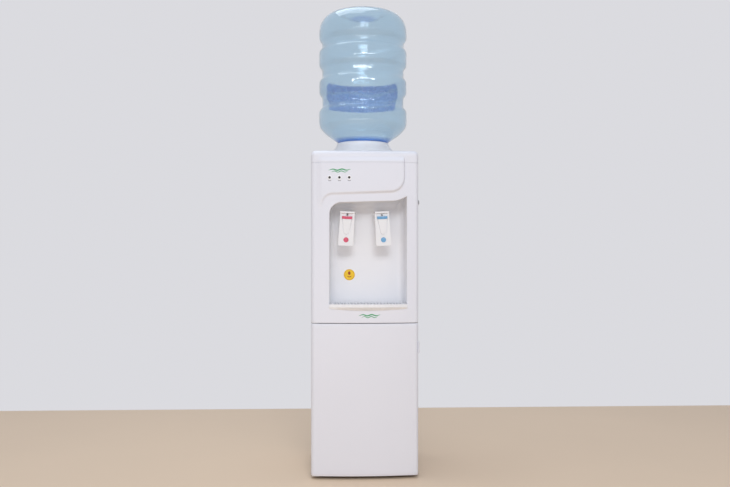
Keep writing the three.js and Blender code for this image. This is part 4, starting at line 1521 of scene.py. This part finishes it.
def tap_lever():
    """The cup-push lever: leaning face, top bar, tongue in its channel, arm and cheeks."""
    outline = [(-0.0205, 0.012)]
    outline += arc((-0.0193, -0.085), 0.003, 180, 270, 5)
    outline += arc((0.0193, -0.085), 0.003, 270, 360, 5)
    outline += [(0.0205, 0.012)]
    face = cut_out(outline, -0.0632, -0.0600)
    channel = tongue_outline(0.0034, 0.0064)
    face = carved(face, cut_out(channel, -0.066, -0.0608))
    windows = [block((x0, -0.070, -0.0012), (x1, depth, 0.0062)) for x0, x1, depth in WINDOWS]
    face = carved(face, together(*windows))
    face = carved(face, bar((0, -0.070, -0.071), (0, -0.0624, -0.071), 0.0078, 48))
    tongue = cut_out(tongue_outline(), -0.0663, -0.0600)
    for vert in tongue.verts:
        if vert.co.y < -0.065:
            vert.co.y += 0.0016 * smoothstep((-0.011 - vert.co.z) / 0.045)
            vert.co.x *= 0.94
    top_bar = cut_out(
        [
            (-0.0602, 0.0064), (-0.0650, 0.0064), (-0.0660, 0.0074), (-0.0661, 0.0100),
            (-0.0652, 0.0116), (-0.0632, 0.0121), (-0.0602, 0.0121),
        ],
        -0.0210,
        0.0210,
        "side",
    )
    leaned = placed(together(face, tongue, top_bar), leaning())
    slot = [*arc((0, BARREL_Y), 0.0032, 180, 360, 8), *arc((0, BARREL_Y + 0.003), 0.0032, 0, 180, 8)]
    arm = carved(block((-0.0205, -0.0612, 0.008), (0.0205, -0.020, 0.011)), cut_out(slot, 0, 0.02, "plan"))
    cheek = [(-0.0615, 0.011), (-0.040, 0.011), (-0.040, -0.005), (-0.050, -0.010), (-0.064, -0.042)]
    cheeks = [cut_out(cheek, x, x + 0.0028, "side") for x in (-0.0205, 0.0177)]
    return together(leaned, arm, *cheeks)


# The openings under the top bar: a hole in the middle and a shallow pocket on either side.
WINDOWS = ((-0.0026, 0.0026, -0.050), (-0.0152, -0.0052, -0.0604), (0.0052, 0.0152, -0.0604))


def band_outline():
    """The coloured band across a lever's face, dipped a little in its middle."""
    half, foot, head, dip = 0.0148, -0.0100, -0.0024, 0.0007
    places = [(x, dip * math.cos(x / half * math.pi / 2)) for x in spaced_out(half)]
    return [*((x, foot - d) for x, d in places), *((x, head - d) for x, d in reversed(places))]


def spaced_out(half, steps=12):
    """Places from -half to half."""
    return [half * (2 * i / steps - 1) for i in range(steps + 1)]


def spring(radius, low, high, turns, wire):
    """A helical spring about the barrel's axis."""
    steps = turns * 20
    route = []
    for i in range(steps + 1):
        angle = 2 * math.pi * turns * i / steps
        z = low + (high - low) * i / steps
        route.append((radius * math.cos(angle), BARREL_Y + radius * math.sin(angle), z))
    return pipe(route, wire, 8)


class DISPENSER_OT_taps(bpy.types.Operator):
    """Builds the hot and cold taps: barrel, cap, lever, band, marker, stem, pin and spring"""

    bl_idname = "dispenser.taps"
    bl_label = "Taps"

    def execute(self, context):
        for name, side, colour in (("hot", -1, "hot"), ("cold", 1, "cold")):
            self.tap(context, name, tap_place(side), colour)
        return {"FINISHED"}

    def tap(self, context, name, place, colour):
        edge = context.scene.taps.plate_edge
        slot = "red_plastic" if name == "hot" else "blue_plastic"
        body = placed(tap_barrel(), place)
        made = piece(
            f"{name}_barrel", body, "cabinet", finish("tap"), [f"{name}_tap_body"], 30
        )
        lever = placed(tap_lever(), place)
        made = piece(
            f"{name}_push_lever",
            lever,
            f"{name}_push_lever",
            finish("tap"),
            [f"{name}_lever"],
        )
        ease_edges(made, edge * 0.5, 3)
        band = cut_out(band_outline(), -0.0670, -0.0634)
        band_node = "hot_safety_catch" if name == "hot" else "cold_lever_band"
        band_body = "hot_catch" if name == "hot" else "cold_push_lever"
        made = piece(
            f"{name}_band", placed(band, place @ leaning()), band_body, finish(colour), [band_node]
        )
        ease_edges(made, 0.0007, 3)
        self.marker(name, place, colour, slot)
        self.workings(name, place)

    def marker(self, name, place, colour, slot):
        """The domed coloured button low on the lever."""
        profile = [(0, 0.0002), (0.0030, 0.0001), (0.0060, -0.0001), (0.0071, -0.0004)]
        profile += [(0.0074, -0.0009), (0.0074, -0.0016), (0, -0.0016)]
        turned_profile = [(r, -0.0638 - h) for r, h in profile]
        bm = turned(turned_profile, (0, 0, -0.071), 56, along="Y")
        node = f"{name}_marker"
        piece(
            f"{name}_button",
            placed(bm, place @ leaning()),
            f"{name}_push_lever",
            finish(colour),
            [node],
            50,
        )

    def workings(self, name, place):
        """The barrel's cap, the valve stem, the hinge pin and the return spring."""
        centre = (0, BARREL_Y, 0)
        cap = [(0.0032, -0.006), (0.0091, -0.006), (0.0091, -0.0003), (0.0066, 0.0003)]
        cap += [(0.0063, 0.0010), (0.0063, 0.0034), (0.0057, 0.0040), (0.0032, 0.0040)]
        bm = placed(turned([*cap, cap[0]], centre, 48), place)
        piece(f"{name}_barrel_cap", bm, "cabinet", finish("tap"), [f"{name}_tap_cap"], 35)
        stem = [(0, -0.0436), (0.0046, -0.0436), (0.0086, -0.0402), (0.0088, -0.0388)]
        stem += [(0.0086, -0.0376), (0.0030, -0.0366), (0.0024, -0.0355), (0.0024, 0.0112)]
        stem += [(0.0028, 0.0116), (0.0040, 0.0116), (0.0043, 0.0120), (0.0042, 0.0131)]
        stem += [(0.0034, 0.0136), (0, 0.0136)]
        bm = placed(turned(stem, centre, 40), place)
        piece(
            f"{name}_stem", bm, f"{name}_valve", finish("silicone"),
            [f"{name}_valve_stem"], 35,
        )
        pin = bar((-0.0199, PIVOT_Y, 0), (0.0199, PIVOT_Y, 0), 0.0020, 28)
        made = piece(
            f"{name}_pin", placed(pin, place), "cabinet", finish("stainless"),
            [f"{name}_lever_pin"],
        )
        ease_edges(made, 0.0003, 2)
        foot, head = -0.0352, -0.0074
        coil = piece(
            f"{name}_spring", placed(spring(0.0056, foot, head, 6, 0.0006), place), None,
            finish("stainless"), [f"{name}_valve_spring"], 60,
        )
        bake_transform(coil)


# ------------------------------------------------------------------ drip tray


LIP_BOW = 0.014  # how far the lip bows out
LIP_REACH = 0.0012  # how far the lip covers the panel beside the niche
FACE_GAP = 0.0006  # between the lip and the panel behind it


def lip_line():
    """The lip's front edge in plan, from left to right."""
    left, right = NICHE_LEFT - LIP_REACH, NICHE_RIGHT + LIP_REACH
    middle, half = (left + right) / 2, (right - left) / 2
    ways = (2 * i / 40 - 1 for i in range(41))
    return [(middle + half * t, TRAY_LOW.y + LIP_BOW * t * t) for t in ways]


def tray_outline():
    """The tray in plan: a bowed lip in front of the panel, and a pan that fills the niche."""
    left, right = NICHE_LEFT + 0.0021, NICHE_RIGHT - 0.0021
    back, radius = TRAY_HIGH.y, 0.007
    lip = lip_line()
    right_shoulder = crown_at(lip[-1][0]) - FACE_GAP
    left_shoulder = crown_at(lip[0][0]) - FACE_GAP
    return [
        *lip,
        (lip[-1][0], right_shoulder),
        (right, right_shoulder),
        *arc((right - radius, back - radius), radius, 0, 90, 6),
        *arc((left + radius, back - radius), radius, 90, 180, 6),
        (left, left_shoulder),
        (lip[0][0], left_shoulder),
    ]


class DISPENSER_OT_drip_tray(bpy.types.Operator):
    """Builds the drip tray, with its bowed lip and well, and the slotted grille in it"""

    bl_idname = "dispenser.drip_tray"
    bl_label = "Drip Tray"

    def execute(self, context):
        self.tray(context)
        self.grille(context)
        return {"FINISHED"}

    def tray(self, context):
        low, high = TRAY_LOW, TRAY_HIGH
        body = cut_out(tray_outline(), low.z, high.z, "plan")
        front = FACE_Y + 0.0085
        back = high.y - 0.006
        well = block((low.x + 0.006, front, low.z + 0.0015), (high.x - 0.006, back, high.z + 0.01))
        body = carved(body, well)
        ledge = block(
            (low.x + 0.0025, FACE_Y + 0.004, high.z - 0.0028),
            (high.x - 0.0025, high.y - 0.0025, high.z + 0.01),
        )
        body = carved(body, ledge)
        grip = block((low.x + 0.03, low.y + 0.007, low.z - 0.01), (high.x - 0.03, low.y + 0.017, high.z - 0.003))
        body = carved(body, grip)
        body = carved(body, self.apron(), "UNION")
        made = piece(
            "drip_tray_moulding", body, "drip_catcher", finish("tray"), ["drip_tray"]
        )
        ease_edges(made, 0.0009, 3)

    def apron(self):
        """The lip's underside, which slopes back to the panel over the niche's lower edge."""
        low = TRAY_LOW
        sections = []
        for x, y in lip_line():
            x *= 0.9995
            face = crown_at(x) - FACE_GAP - 0.0001
            front = min(y + 0.0006, face - 0.0008)
            foot = NICHE_BOTTOM - 0.0016 - 0.0052 * (TRAY_LOW.y + LIP_BOW - y) / LIP_BOW
            back = (front, low.z + 0.0012), (face, low.z + 0.0012), (face, foot)
            under = (face - 0.0006, foot), (front, low.z - 0.0002)
            sections.append([Vector((x, depth, z)) for depth, z in (*back, *under)])
        bm = lofted(sections)
        bmesh.ops.holes_fill(bm, edges=[e for e in bm.edges if e.is_boundary])
        bmesh.ops.recalc_face_normals(bm, faces=bm.faces)
        return bm

    def grille(self, context):
        low, high = GRILLE_LOW, GRILLE_HIGH
        outline = rounded_rectangle(
            ((low.x + high.x) / 2, (low.y + high.y) / 2),
            (high.x - low.x) / 2,
            (high.y - low.y) / 2,
            0.003,
        )
        plate = cut_out(outline, low.z, high.z, "plan")
        pitch, count, half = 0.0095, 21, 0.0022
        first = (low.x + high.x) / 2 - (count - 1) * pitch / 2
        slots = []
        for i in range(count):
            x = first + i * pitch
            front, back = low.y + 0.0085, high.y - 0.008
            slot = arc((x, front), half, 180, 360, 6) + arc((x, back), half, 0, 180, 6)
            slots.append(cut_out(slot, low.z - 0.005, high.z + 0.005, "plan"))
        plate = carved(plate, together(*slots))
        made = piece(
            "drip_grille_moulding", plate, "grille", finish("tray"), ["drip_grille"]
        )
        ease_edges(made, 0.0004, 2)


# ------------------------------------------------------------------ lamps, marks and sticker

LAMP_Z = 0.865
LAMPS = (("power", -0.1015), ("heating", -0.0735), ("cooling", -0.0455))


class DISPENSER_OT_marks(bpy.types.Operator):
    """Builds the lamps, their caption bars, the plain wave marks and the hot water sticker"""

    bl_idname = "dispenser.marks"
    bl_label = "Lamps and Marks"

    def execute(self, context):
        for name, x in LAMPS:
            self.lamp(name, x)
        self.wave("upper_wave_mark", "cabinet", (-0.073, 0.885), 0.066, 0.0030, front_at)
        self.wave("door_top_wave_mark", "cabinet", (0.013, 0.468), 0.064, 0.0032, front_at)
        self.sticker()
        return {"FINISHED"}

    def lamp(self, name, x):
        face = front_at(x, LAMP_Z)
        lens = [(0, -0.0013), (0.0014, -0.0012), (0.0026, -0.0009), (0.0033, -0.0004)]
        lens += [(0.0035, 0.0004), (0.0035, 0.009), (0, 0.009)]
        bm = turned([(r, face + y) for r, y in lens], (x, 0, LAMP_Z), 40, along="Y")
        piece(
            f"{name}_lens", bm, "cabinet", finish("lens"), [f"{name}_led"], 50
        )
        ring = [(0.0036, 0.001), (0.0036, -0.0006), (0.0039, -0.0011), (0.0048, -0.0014)]
        ring += [(0.0060, -0.0012), (0.0067, -0.0006), (0.0070, 0.001), (0.0036, 0.001)]
        bm = turned([(r, face + y) for r, y in ring], (x, 0, LAMP_Z), 48, along="Y")
        piece(f"{name}_bezel", bm, "cabinet", finish("bright"), (), 50)
        line = [Vector((x + dx, LAMP_Z - 0.0092)) for dx in spaced_out(0.0048)]
        bm = stroke(line, lambda t: 0.0009 * (1 - abs(2 * t - 1) ** 8) + 1e-5, front_at)
        piece(f"{name}_caption", bm, "cabinet", finish("caption"))

    def wave(self, name, body, centre, length, height, surface):
        """A plain mark of two waves, one over the other, that thin out at their ends."""
        strokes = []
        for shift, share, width in ((0.0023, 1.0, 0.0018), (-0.0031, 0.78, 0.0011)):
            line = []
            for i in range(73):
                t = 2 * i / 72 - 1
                x = centre[0] + t * length / 2 * share
                z = centre[1] + shift + height * 0.55 * math.sin(t * 2.5 * math.pi) * (1 - 0.3 * t * t)
                line.append(Vector((x, z)))
            strokes.append(stroke(line, lambda t, w=width: w * (1 - abs(2 * t - 1) ** 3) + 1e-5, surface))
        piece(name, together(*strokes), body, finish("mark"))

    def sticker(self):
        """A round yellow sticker with a plain droplet, on the niche's back wall."""
        centre = (-0.0435, 0.583)

        def wall(x, z):
            return niche_back_at(x)

        bm = disc(centre, lambda a: 0.0165, wall)
        piece("hot_water_sticker", bm, "cabinet", finish("sticker"))

        def droplet(angle):
            up = (1 + math.sin(angle)) / 2
            return 0.0036 * (1 + 1.3 * up**6) * (0.86 + 0.14 * math.cos(angle) ** 2)

        bm = disc((centre[0], centre[1] + 0.0030), droplet, wall, 0.0003)
        cup = [Vector(p) for p in arc((centre[0], centre[1] + 0.0015), 0.0080, 215, 325, 24)]
        cup = stroke(cup, lambda t: 0.0011 * (1 - abs(2 * t - 1) ** 3) + 1e-5, wall, 0.0003)
        ring = stroke(
            [Vector(p) for p in arc(centre, 0.0148, 0.2, 359.8, 64)], lambda t: 0.0003, wall, 0.0003
        )
        piece("sticker_print", together(bm, cup, ring), "cabinet", finish("sticker print"))


# ------------------------------------------------------------------ storage and back


class DISPENSER_OT_storage(bpy.types.Operator):
    """Builds the moulded compartment behind the door"""

    bl_idname = "dispenser.storage"
    bl_label = "Storage"

    def execute(self, context):
        low, high = STORE_LOW, STORE_HIGH
        centre = ((low.x + high.x) / 2, (low.z + high.z) / 2)
        half_w, half_h = 0.139, 0.199
        flange_w, flange_h = (high.x - low.x) / 2, (high.z - low.z) / 2
        fillet = 0.012
        back = high.y - 0.002
        sections = []

        def ring(width, height, radius, y):
            outline = rounded_rectangle(centre, width, height, radius, 6)
            sections.append([Vector((x, y, z)) for x, z in outline])

        ring(flange_w, flange_h, 0.004, low.y + 0.0016)
        ring(flange_w - 0.0006, flange_h - 0.0006, 0.004, low.y + 0.0003)
        ring(half_w + 0.002, half_h + 0.002, 0.012, low.y)
        ring(half_w + 0.0005, half_h + 0.0005, 0.012, low.y + 0.0008)
        ring(half_w, half_h, 0.012, low.y + 0.003)
        for share in (0.25, 0.5, 0.75):
            ring(half_w, half_h, 0.012, low.y + share * (back - low.y))
        for i in range(6):
            angle = math.radians(90 * i / 5)
            inset = fillet * (1 - math.cos(angle)) * 0.98
            ring(half_w - inset, half_h - inset, 0.0121 - inset, back - fillet * (1 - math.sin(angle)))
        width, height = half_w - fillet, half_h - fillet
        for share in (0.75, 0.72, 0.45, 0):
            ring(width * share, height * share, 0.0001, back - (0.003 if share < 0.73 else 0))
        bm = lofted(sections)
        toward_front(bm)
        made = piece(
            "storage_moulding", bm, "cabinet", finish("white"), ["storage_liner"], 50
        )
        thicken(made, 0.0018)
        return {"FINISHED"}


def cross_screw(centre, radius=0.0042, way=1):
    """A pan-head screw with a cross recess, its head towards +Y (way 1) or +X (way 0)."""
    x, y, z = centre
    profile = [(0, -0.0004), (radius, -0.0004), (radius, 0.0006), (radius * 0.86, 0.0016)]
    profile += [(radius * 0.55, 0.0023), (0, 0.0026)]
    head = turned([(r, y + p) for r, p in profile], (x, 0, z), 32, along="Y")
    arm, slot = radius * 0.62, radius * 0.13
    cross = together(
        block((x - arm, y + 0.0010, z - slot), (x + arm, y + 0.005, z + slot)),
        block((x - slot, y + 0.0010, z - arm), (x + slot, y + 0.005, z + arm)),
    )
    head = carved(head, cross)
    if way == 0:
        turn = Matrix.Translation(centre) @ Matrix.Rotation(-math.pi / 2, 4, "Z")
        placed(head, turn @ Matrix.Translation(-Vector(centre)))
    return head


class DISPENSER_OT_back(bpy.types.Operator):
    """Builds the switches, gland, drain, screws, condenser and compressor on the back"""

    bl_idname = "dispenser.back"
    bl_label = "Back"

    def execute(self, context):
        self.screws()
        self.switches()
        self.outlets()
        self.condenser()
        self.compressor()
        return {"FINISHED"}

    def screws(self):
        low, high = REAR_LOW, REAR_HIGH
        heads = []
        for x in (low.x + 0.008, high.x - 0.008):
            for z in (0.280, 0.480, 0.690, 0.890):
                heads.append(cross_screw((x, high.y, z)))
        piece("rear_screws", together(*heads), "cabinet", finish("stainless"), (), 30)
        low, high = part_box("panel_fixing_screw")
        centre = (HALF + 0.0008, (low.y + high.y) / 2, (low.z + high.z) / 2)
        head = cross_screw(centre, 0.0062, way=0)
        thread = bar((HALF - 0.009, centre[1], centre[2]), (HALF + 0.0006, centre[1], centre[2]), 0.0019)
        piece(
            "side_fixing_screw", together(head, thread), "cabinet", finish("grey plastic"),
            ["panel_fixing_screw"], 30,
        )

    def switches(self):
        low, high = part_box("switch_housing")
        z = (low.z + high.z) / 2
        face = REAR_HIGH.y + 0.0003
        frame_outline = rounded_rectangle(((low.x + high.x) / 2, z), 0.036, 0.017, 0.003)
        bezel = cut_out(frame_outline, face, high.y)
        barrel = block((low.x + 0.0044, low.y, z - 0.013), (high.x - 0.0044, face + 0.001, z + 0.013))
        housing = carved(bezel, barrel, "UNION")
        for name, body, colour, slot in (
            ("heating_switch", "heating_rocker", "hot", "red_plastic"),
            ("cooling_switch", "cooling_rocker", "green", "green_plastic"),
        ):
            corner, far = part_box(name)
            x = (corner.x + far.x) / 2
            well = block((x - 0.0106, REAR_HIGH.y - 0.0113, z - 0.010), (x + 0.0106, high.y + 0.01, z + 0.010))
            housing = carved(housing, well)
            made = piece(f"{name}_rocker", self.rocker(x, z), body, finish(colour), [name])
            ease_edges(made, 0.0008, 3)
        made = piece(
            "switch_bezel", housing, "cabinet", finish("black plastic"),
            ["switch_housing"],
        )
        ease_edges(made, 0.0006, 2)

    def rocker(self, x, z):
        """A rocker pressed at its top, with two faces dished to the finger."""
        outline = [(-0.003, -0.0072), (0.007, -0.0072), (0.0094, -0.0066), (0.0086, -0.0033)]
        outline += [(0.0080, 0), (0.0086, 0.0033), (0.0094, 0.0066), (0.007, 0.0072), (-0.003, 0.0072)]
        bm = cut_out(outline, x - 0.0099, x + 0.0099, "side")
        pivot = Vector((0, 0.1435, z))
        placed(bm, Matrix.Translation(pivot) @ Matrix.Rotation(math.radians(-8), 4, "X"))
        return bm

    def outlets(self):
        low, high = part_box("cable_gland")
        x, z = (low.x + high.x) / 2, (low.z + high.z) / 2
        face = REAR_HIGH.y + 0.0003
        profile = [(0.0037, low.y), (0.0070, low.y), (0.0070, face), (0.0108, face), (0.0110, face + 0.0008)]
        profile += [(0.0110, face + 0.0035), (0.0098, face + 0.0045)]
        for i in range(5):
            y = face + 0.0045 + 0.0019 * i
            radius = 0.0090 - 0.0006 * i
            profile += [(radius, y), (radius, y + 0.0011), (radius - 0.0009, y + 0.0013)]
        profile += [(0.0056, high.y), (0.0037, high.y), (0.0037, low.y)]
        bm = turned(profile, (x, 0, z), 48, along="Y")
        piece(
            "cable_gland_moulding", bm, "cabinet", finish("black plastic"),
            ["cable_gland"], 30,
        )
        low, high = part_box("drain_cap")
        x, z = (low.x + high.x) / 2, (low.z + high.z) / 2
        profile = [(0, high.y), (0.0088, high.y), (0.0096, high.y - 0.0006), (0.0110, high.y - 0.003)]
        profile += [(0.0110, low.y + 0.0006), (0.0106, low.y), (0.0080, low.y), (0.0080, low.y + 0.011)]
        profile += [(0, low.y + 0.011)]
        bm = turned(profile, (x, 0, z), 48, along="Y")
        ribs = []
        for i in range(18):
            angle = 2 * math.pi * i / 18
            px, pz = x + 0.0108 * math.cos(angle), z + 0.0108 * math.sin(angle)
            ribs.append(bar((px, low.y + 0.001, pz), (px, high.y - 0.0042, pz), 0.0005, 8))
        piece(
            "drain_cap_moulding", together(bm, *ribs), "drain_plug", finish("white"),
            ["drain_cap"], 35,
        )

    def condenser(self):
        low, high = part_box("condenser")
        depth = high.y - 0.0042
        reach, pitch, runs = 0.118, 0.054, 9
        start = 0.345
        route = []
        for i in range(runs):
            z = start + i * pitch
            way = 1 if i % 2 == 0 else -1
            route += [Vector((-way * reach, depth, z)), Vector((way * reach, depth, z))]
            if i == runs - 1:
                break
            bend = arc((way * reach, z + pitch / 2), pitch / 2, -90, 90, 12)[1:-1]
            for x, level in bend:
                offset_x = (x - way * reach) * way
                route.append(Vector((way * reach + offset_x * 0.88, depth, level)))
        inlet = [
            (-0.0200, 0.0835, 0.186), (-0.024, 0.0875, 0.206), (-0.060, 0.1135, 0.214),
            (-0.100, 0.1495, 0.236), (-0.129, depth, 0.300), (-0.1255, depth, 0.333),
        ]
        lead = curved([Vector(p) for p in inlet], 8)
        bm = pipe([*lead, *route], 0.0025, 12)
        wires = []
        top = start + (runs - 1) * pitch + 0.012
        count = 34
        for i in range(count):
            x = -reach + 0.004 + (2 * reach - 0.008) * i / (count - 1)
            for side in (-1, 1):
                y = depth + side * 0.0031
                wires.append(bar((x, y, start - 0.012), (x, y, top), 0.0007, 6))
        brackets = []
        for x in (-0.096, 0.096):
            for z in (start + 0.02, top - 0.03):
                brackets.append(block((x - 0.005, REAR_HIGH.y, z - 0.012), (x + 0.005, depth - 0.002, z - 0.010)))
                brackets.append(block((x - 0.005, REAR_HIGH.y, z - 0.012), (x + 0.005, REAR_HIGH.y + 0.001, z + 0.012)))
        piece(
            "wire_condenser", together(bm, *wires, *brackets), "cabinet", finish("black paint"),
            ["condenser"], 40,
        )

    def compressor(self):
        low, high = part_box("compressor")
        centre = Vector((0, 0.0835, 0))
        outside = [
            (0, 0.040), (0.034, 0.0415), (0.048, 0.047), (0.0555, 0.056), (0.0578, 0.070),
            (0.0580, 0.1075), (0.0600, 0.1082), (0.0614, 0.1095), (0.0614, 0.1125),
            (0.0600, 0.1138), (0.0580, 0.1145), (0.0575, 0.130), (0.0560, 0.148), (0.0505, 0.164),
            (0.0400, 0.1745), (0.0240, 0.1815), (0.0100, 0.1838), (0, 0.184),
        ]
        shell = turned(outside, centre, 72)
        plate = block((-0.066, centre.y - 0.046, 0.0302), (0.066, centre.y + 0.046, 0.0335))
        stand = turned([(0, 0.033), (0.040, 0.033), (0.040, 0.036), (0.034, 0.046), (0, 0.046)], centre, 48)
        feet = []
        for dx in (-0.054, 0.054):
            for dy in (-0.034, 0.034):
                spot = (dx, centre.y + dy, 0)
                grommet = [(0, 0.0138), (0.0085, 0.0138), (0.0090, 0.0150), (0.0090, 0.0200)]
                grommet += [(0.0072, 0.0215), (0.0090, 0.0230), (0.0090, 0.0290), (0.0060, 0.0305)]
                grommet += [(0.0060, 0.0360), (0, 0.0365)]
                feet.append(turned(grommet, spot, 28))
        relay = block((-0.020, centre.y + 0.050, 0.075), (0.020, centre.y + 0.0605, 0.103))
        suction = pipe(
            [
                (0.024, 0.0835, 0.176), (0.026, 0.0875, 0.215), (-0.020, 0.0975, 0.262),
                (-0.072, 0.1135, 0.330), (-0.078, 0.1175, 0.480), (-0.078, 0.1015, 0.620),
                (-0.048, 0.0415, 0.690), (-0.046, 0.0375, 0.7133),
            ],
            0.0029,
            12,
            smooth=8,
        )
        stub = pipe([(0.040, 0.0835, 0.168), (0.046, 0.0835, 0.185), (0.052, 0.0835, 0.199)], 0.0024, 12, 5)
        bm = together(shell, plate, stand, *feet, relay, suction, stub)
        piece(
            "compressor_unit", bm, "cabinet", finish("black paint"), ["compressor"], 35
        )


# ------------------------------------------------------------------ frame pieces that show

FRAME_FINISHES = {
    "painted steel": ["left_side_panel", "right_side_panel", "rear_panel", "middle_shelf"],
    "black paint": ["base_plate"],
    "stainless": [
        "upper_hinge_bracket", "lower_hinge_bracket", "cold_tank", "hot_tank", "heater_band",
    ],
    "foam": ["cold_tank_insulation"],
    "silicone": [
        "feed_probe", "feed_tube", "hot_water_hose", "cold_water_hose", "drain_spout",
    ],
}


class DISPENSER_OT_frame_finishes(bpy.types.Operator):
    """Gives the frame's own pieces that stay in view their finishes"""

    bl_idname = "dispenser.frame_finishes"
    bl_label = "Frame Finishes"

    def execute(self, context):
        for name, nodes in FRAME_FINISHES.items():
            for node in nodes:
                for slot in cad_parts[node].material_slots:
                    slot.material = finish(name)
        return {"FINISHED"}


# ------------------------------------------------------------------ stage


class DISPENSER_OT_stage(bpy.types.Operator):
    """Sets the pale floor, the soft light and the camera"""

    bl_idname = "dispenser.stage"
    bl_label = "Stage"

    def execute(self, context):
        self.floor(context)
        self.light(context)
        self.camera(context)
        return {"FINISHED"}

    def floor(self, context):
        bm = bmesh.new()
        bmesh.ops.create_grid(bm, x_segments=8, y_segments=8, size=1.0)
        bmesh.ops.scale(bm, verts=bm.verts, vec=(4.0, 2.6, 1.0))
        bmesh.ops.translate(bm, verts=bm.verts, vec=(0, -1.75, -0.0005))
        mesh = bpy.data.meshes.new("floor")
        bm.to_mesh(mesh)
        bm.free()
        floor = bpy.data.objects.new("floor", mesh)
        context.scene.collection.objects.link(floor)
        made = Finish("pale floor", tuple(context.scene.stage.floor_colour), 0.5)
        made.mottled(1.2, 0.02)
        mesh.materials.append(made.material)

    def light(self, context):
        scene = context.scene
        world = scene.world or bpy.data.worlds.new("studio")
        scene.world = world
        world.use_nodes = True
        nodes, links = world.node_tree.nodes, world.node_tree.links
        background = nodes["Background"]
        background.inputs["Color"].default_value = (0.708, 0.708, 0.742, 1)
        fill = nodes.new("ShaderNodeBackground")
        fill.inputs["Color"].default_value = (0.40, 0.405, 0.44, 1)
        ray = nodes.new("ShaderNodeLightPath")
        mix = nodes.new("ShaderNodeMixShader")
        links.new(ray.outputs["Is Diffuse Ray"], mix.inputs["Fac"])
        links.new(background.outputs["Background"], mix.inputs[1])
        links.new(fill.outputs["Background"], mix.inputs[2])
        links.new(mix.outputs["Shader"], nodes["World Output"].inputs["Surface"])
        for name, place, aim, size, power, colour in (
            ("key light", (0.1, -3.3, 2.35), (0, 0, 0.75), (1.1, 0.8), 33, (0.93, 0.96, 1)),
            ("top light", (-0.4, 0.2, 3.0), (0, 0, 0.9), (1.6, 1.6), 20, (0.9, 0.95, 1)),
            ("low light", (-0.5, -2.3, 0.40), (0, 0, 0.70), (2.4, 0.5), 5.5, (1, 0.95, 0.92)),
            ("strip light", (0.0, -3.0, 1.85), (0, 0, 1.2), (3.4, 0.045), 11, (0.93, 0.96, 1)),
        ):
            lamp = bpy.data.lights.new(name, "AREA")
            lamp.shape = "RECTANGLE"
            lamp.size, lamp.size_y = size
            lamp.energy = power
            lamp.color = colour
            holder = bpy.data.objects.new(name, lamp)
            holder.location = place
            holder.visible_glossy = name != "key light"
            way = Vector(aim) - Vector(place)
            holder.rotation_euler = way.to_track_quat("-Z", "Y").to_euler()
            scene.collection.objects.link(holder)
        scene.view_settings.view_transform = "Standard"

    def camera(self, context):
        settings = context.scene.stage
        eye = bpy.data.cameras.new("camera")
        eye.lens = 40
        eye.sensor_width = 36
        holder = bpy.data.objects.new("camera", eye)
        turn = settings.camera_turn
        pivot = Vector((0, FACE_Y - CROWN / 2, settings.camera_height))
        back = Vector((-math.sin(turn), -math.cos(turn), 0)) * settings.camera_distance
        holder.location = pivot + back
        holder.rotation_euler = (math.pi / 2, 0, -turn)
        context.scene.collection.objects.link(holder)
        context.scene.camera = holder


# ------------------------------------------------------------------ sidebar and run


class DISPENSER_PT_sidebar(bpy.types.Panel):
    """Lists the dispenser's pieces and settings"""

    bl_idname = "DISPENSER_PT_sidebar"
    bl_label = "Dispenser"
    bl_space_type = "VIEW_3D"
    bl_region_type = "UI"
    bl_category = "Dispenser"

    def draw(self, context):
        layout = self.layout
        for group in SETTINGS:
            settings = getattr(context.scene, group)
            for name in settings.bl_rna.properties.keys():
                if name not in ("rna_type", "name"):
                    layout.prop(settings, name)
        for operator in OPERATORS:
            layout.operator(operator.bl_idname)


SETTINGS = {
    "cabinet": CabinetSettings,
    "bottle": BottleSettings,
    "taps": TapSettings,
    "stage": StageSettings,
}
OPERATORS = (
    DISPENSER_OT_stage,
    DISPENSER_OT_front_panel,
    DISPENSER_OT_niche,
    DISPENSER_OT_door,
    DISPENSER_OT_top_cover,
    DISPENSER_OT_feet,
    DISPENSER_OT_bottle,
    DISPENSER_OT_seat,
    DISPENSER_OT_taps,
    DISPENSER_OT_drip_tray,
    DISPENSER_OT_marks,
    DISPENSER_OT_storage,
    DISPENSER_OT_back,
    DISPENSER_OT_frame_finishes,
)


def register():
    for settings in SETTINGS.values():
        bpy.utils.register_class(settings)
    for name, settings in SETTINGS.items():
        setattr(bpy.types.Scene, name, PointerProperty(type=settings))
    for operator in OPERATORS:
        bpy.utils.register_class(operator)
    bpy.utils.register_class(DISPENSER_PT_sidebar)


def unregister():
    bpy.utils.unregister_class(DISPENSER_PT_sidebar)
    for operator in reversed(OPERATORS):
        bpy.utils.unregister_class(operator)
    for name, settings in SETTINGS.items():
        delattr(bpy.types.Scene, name)
        bpy.utils.unregister_class(settings)


def main():
    register()
    for operator in OPERATORS:
        group, name = operator.bl_idname.split(".")
        getattr(getattr(bpy.ops, group), name)()


if __name__ == "__main__":
    main()
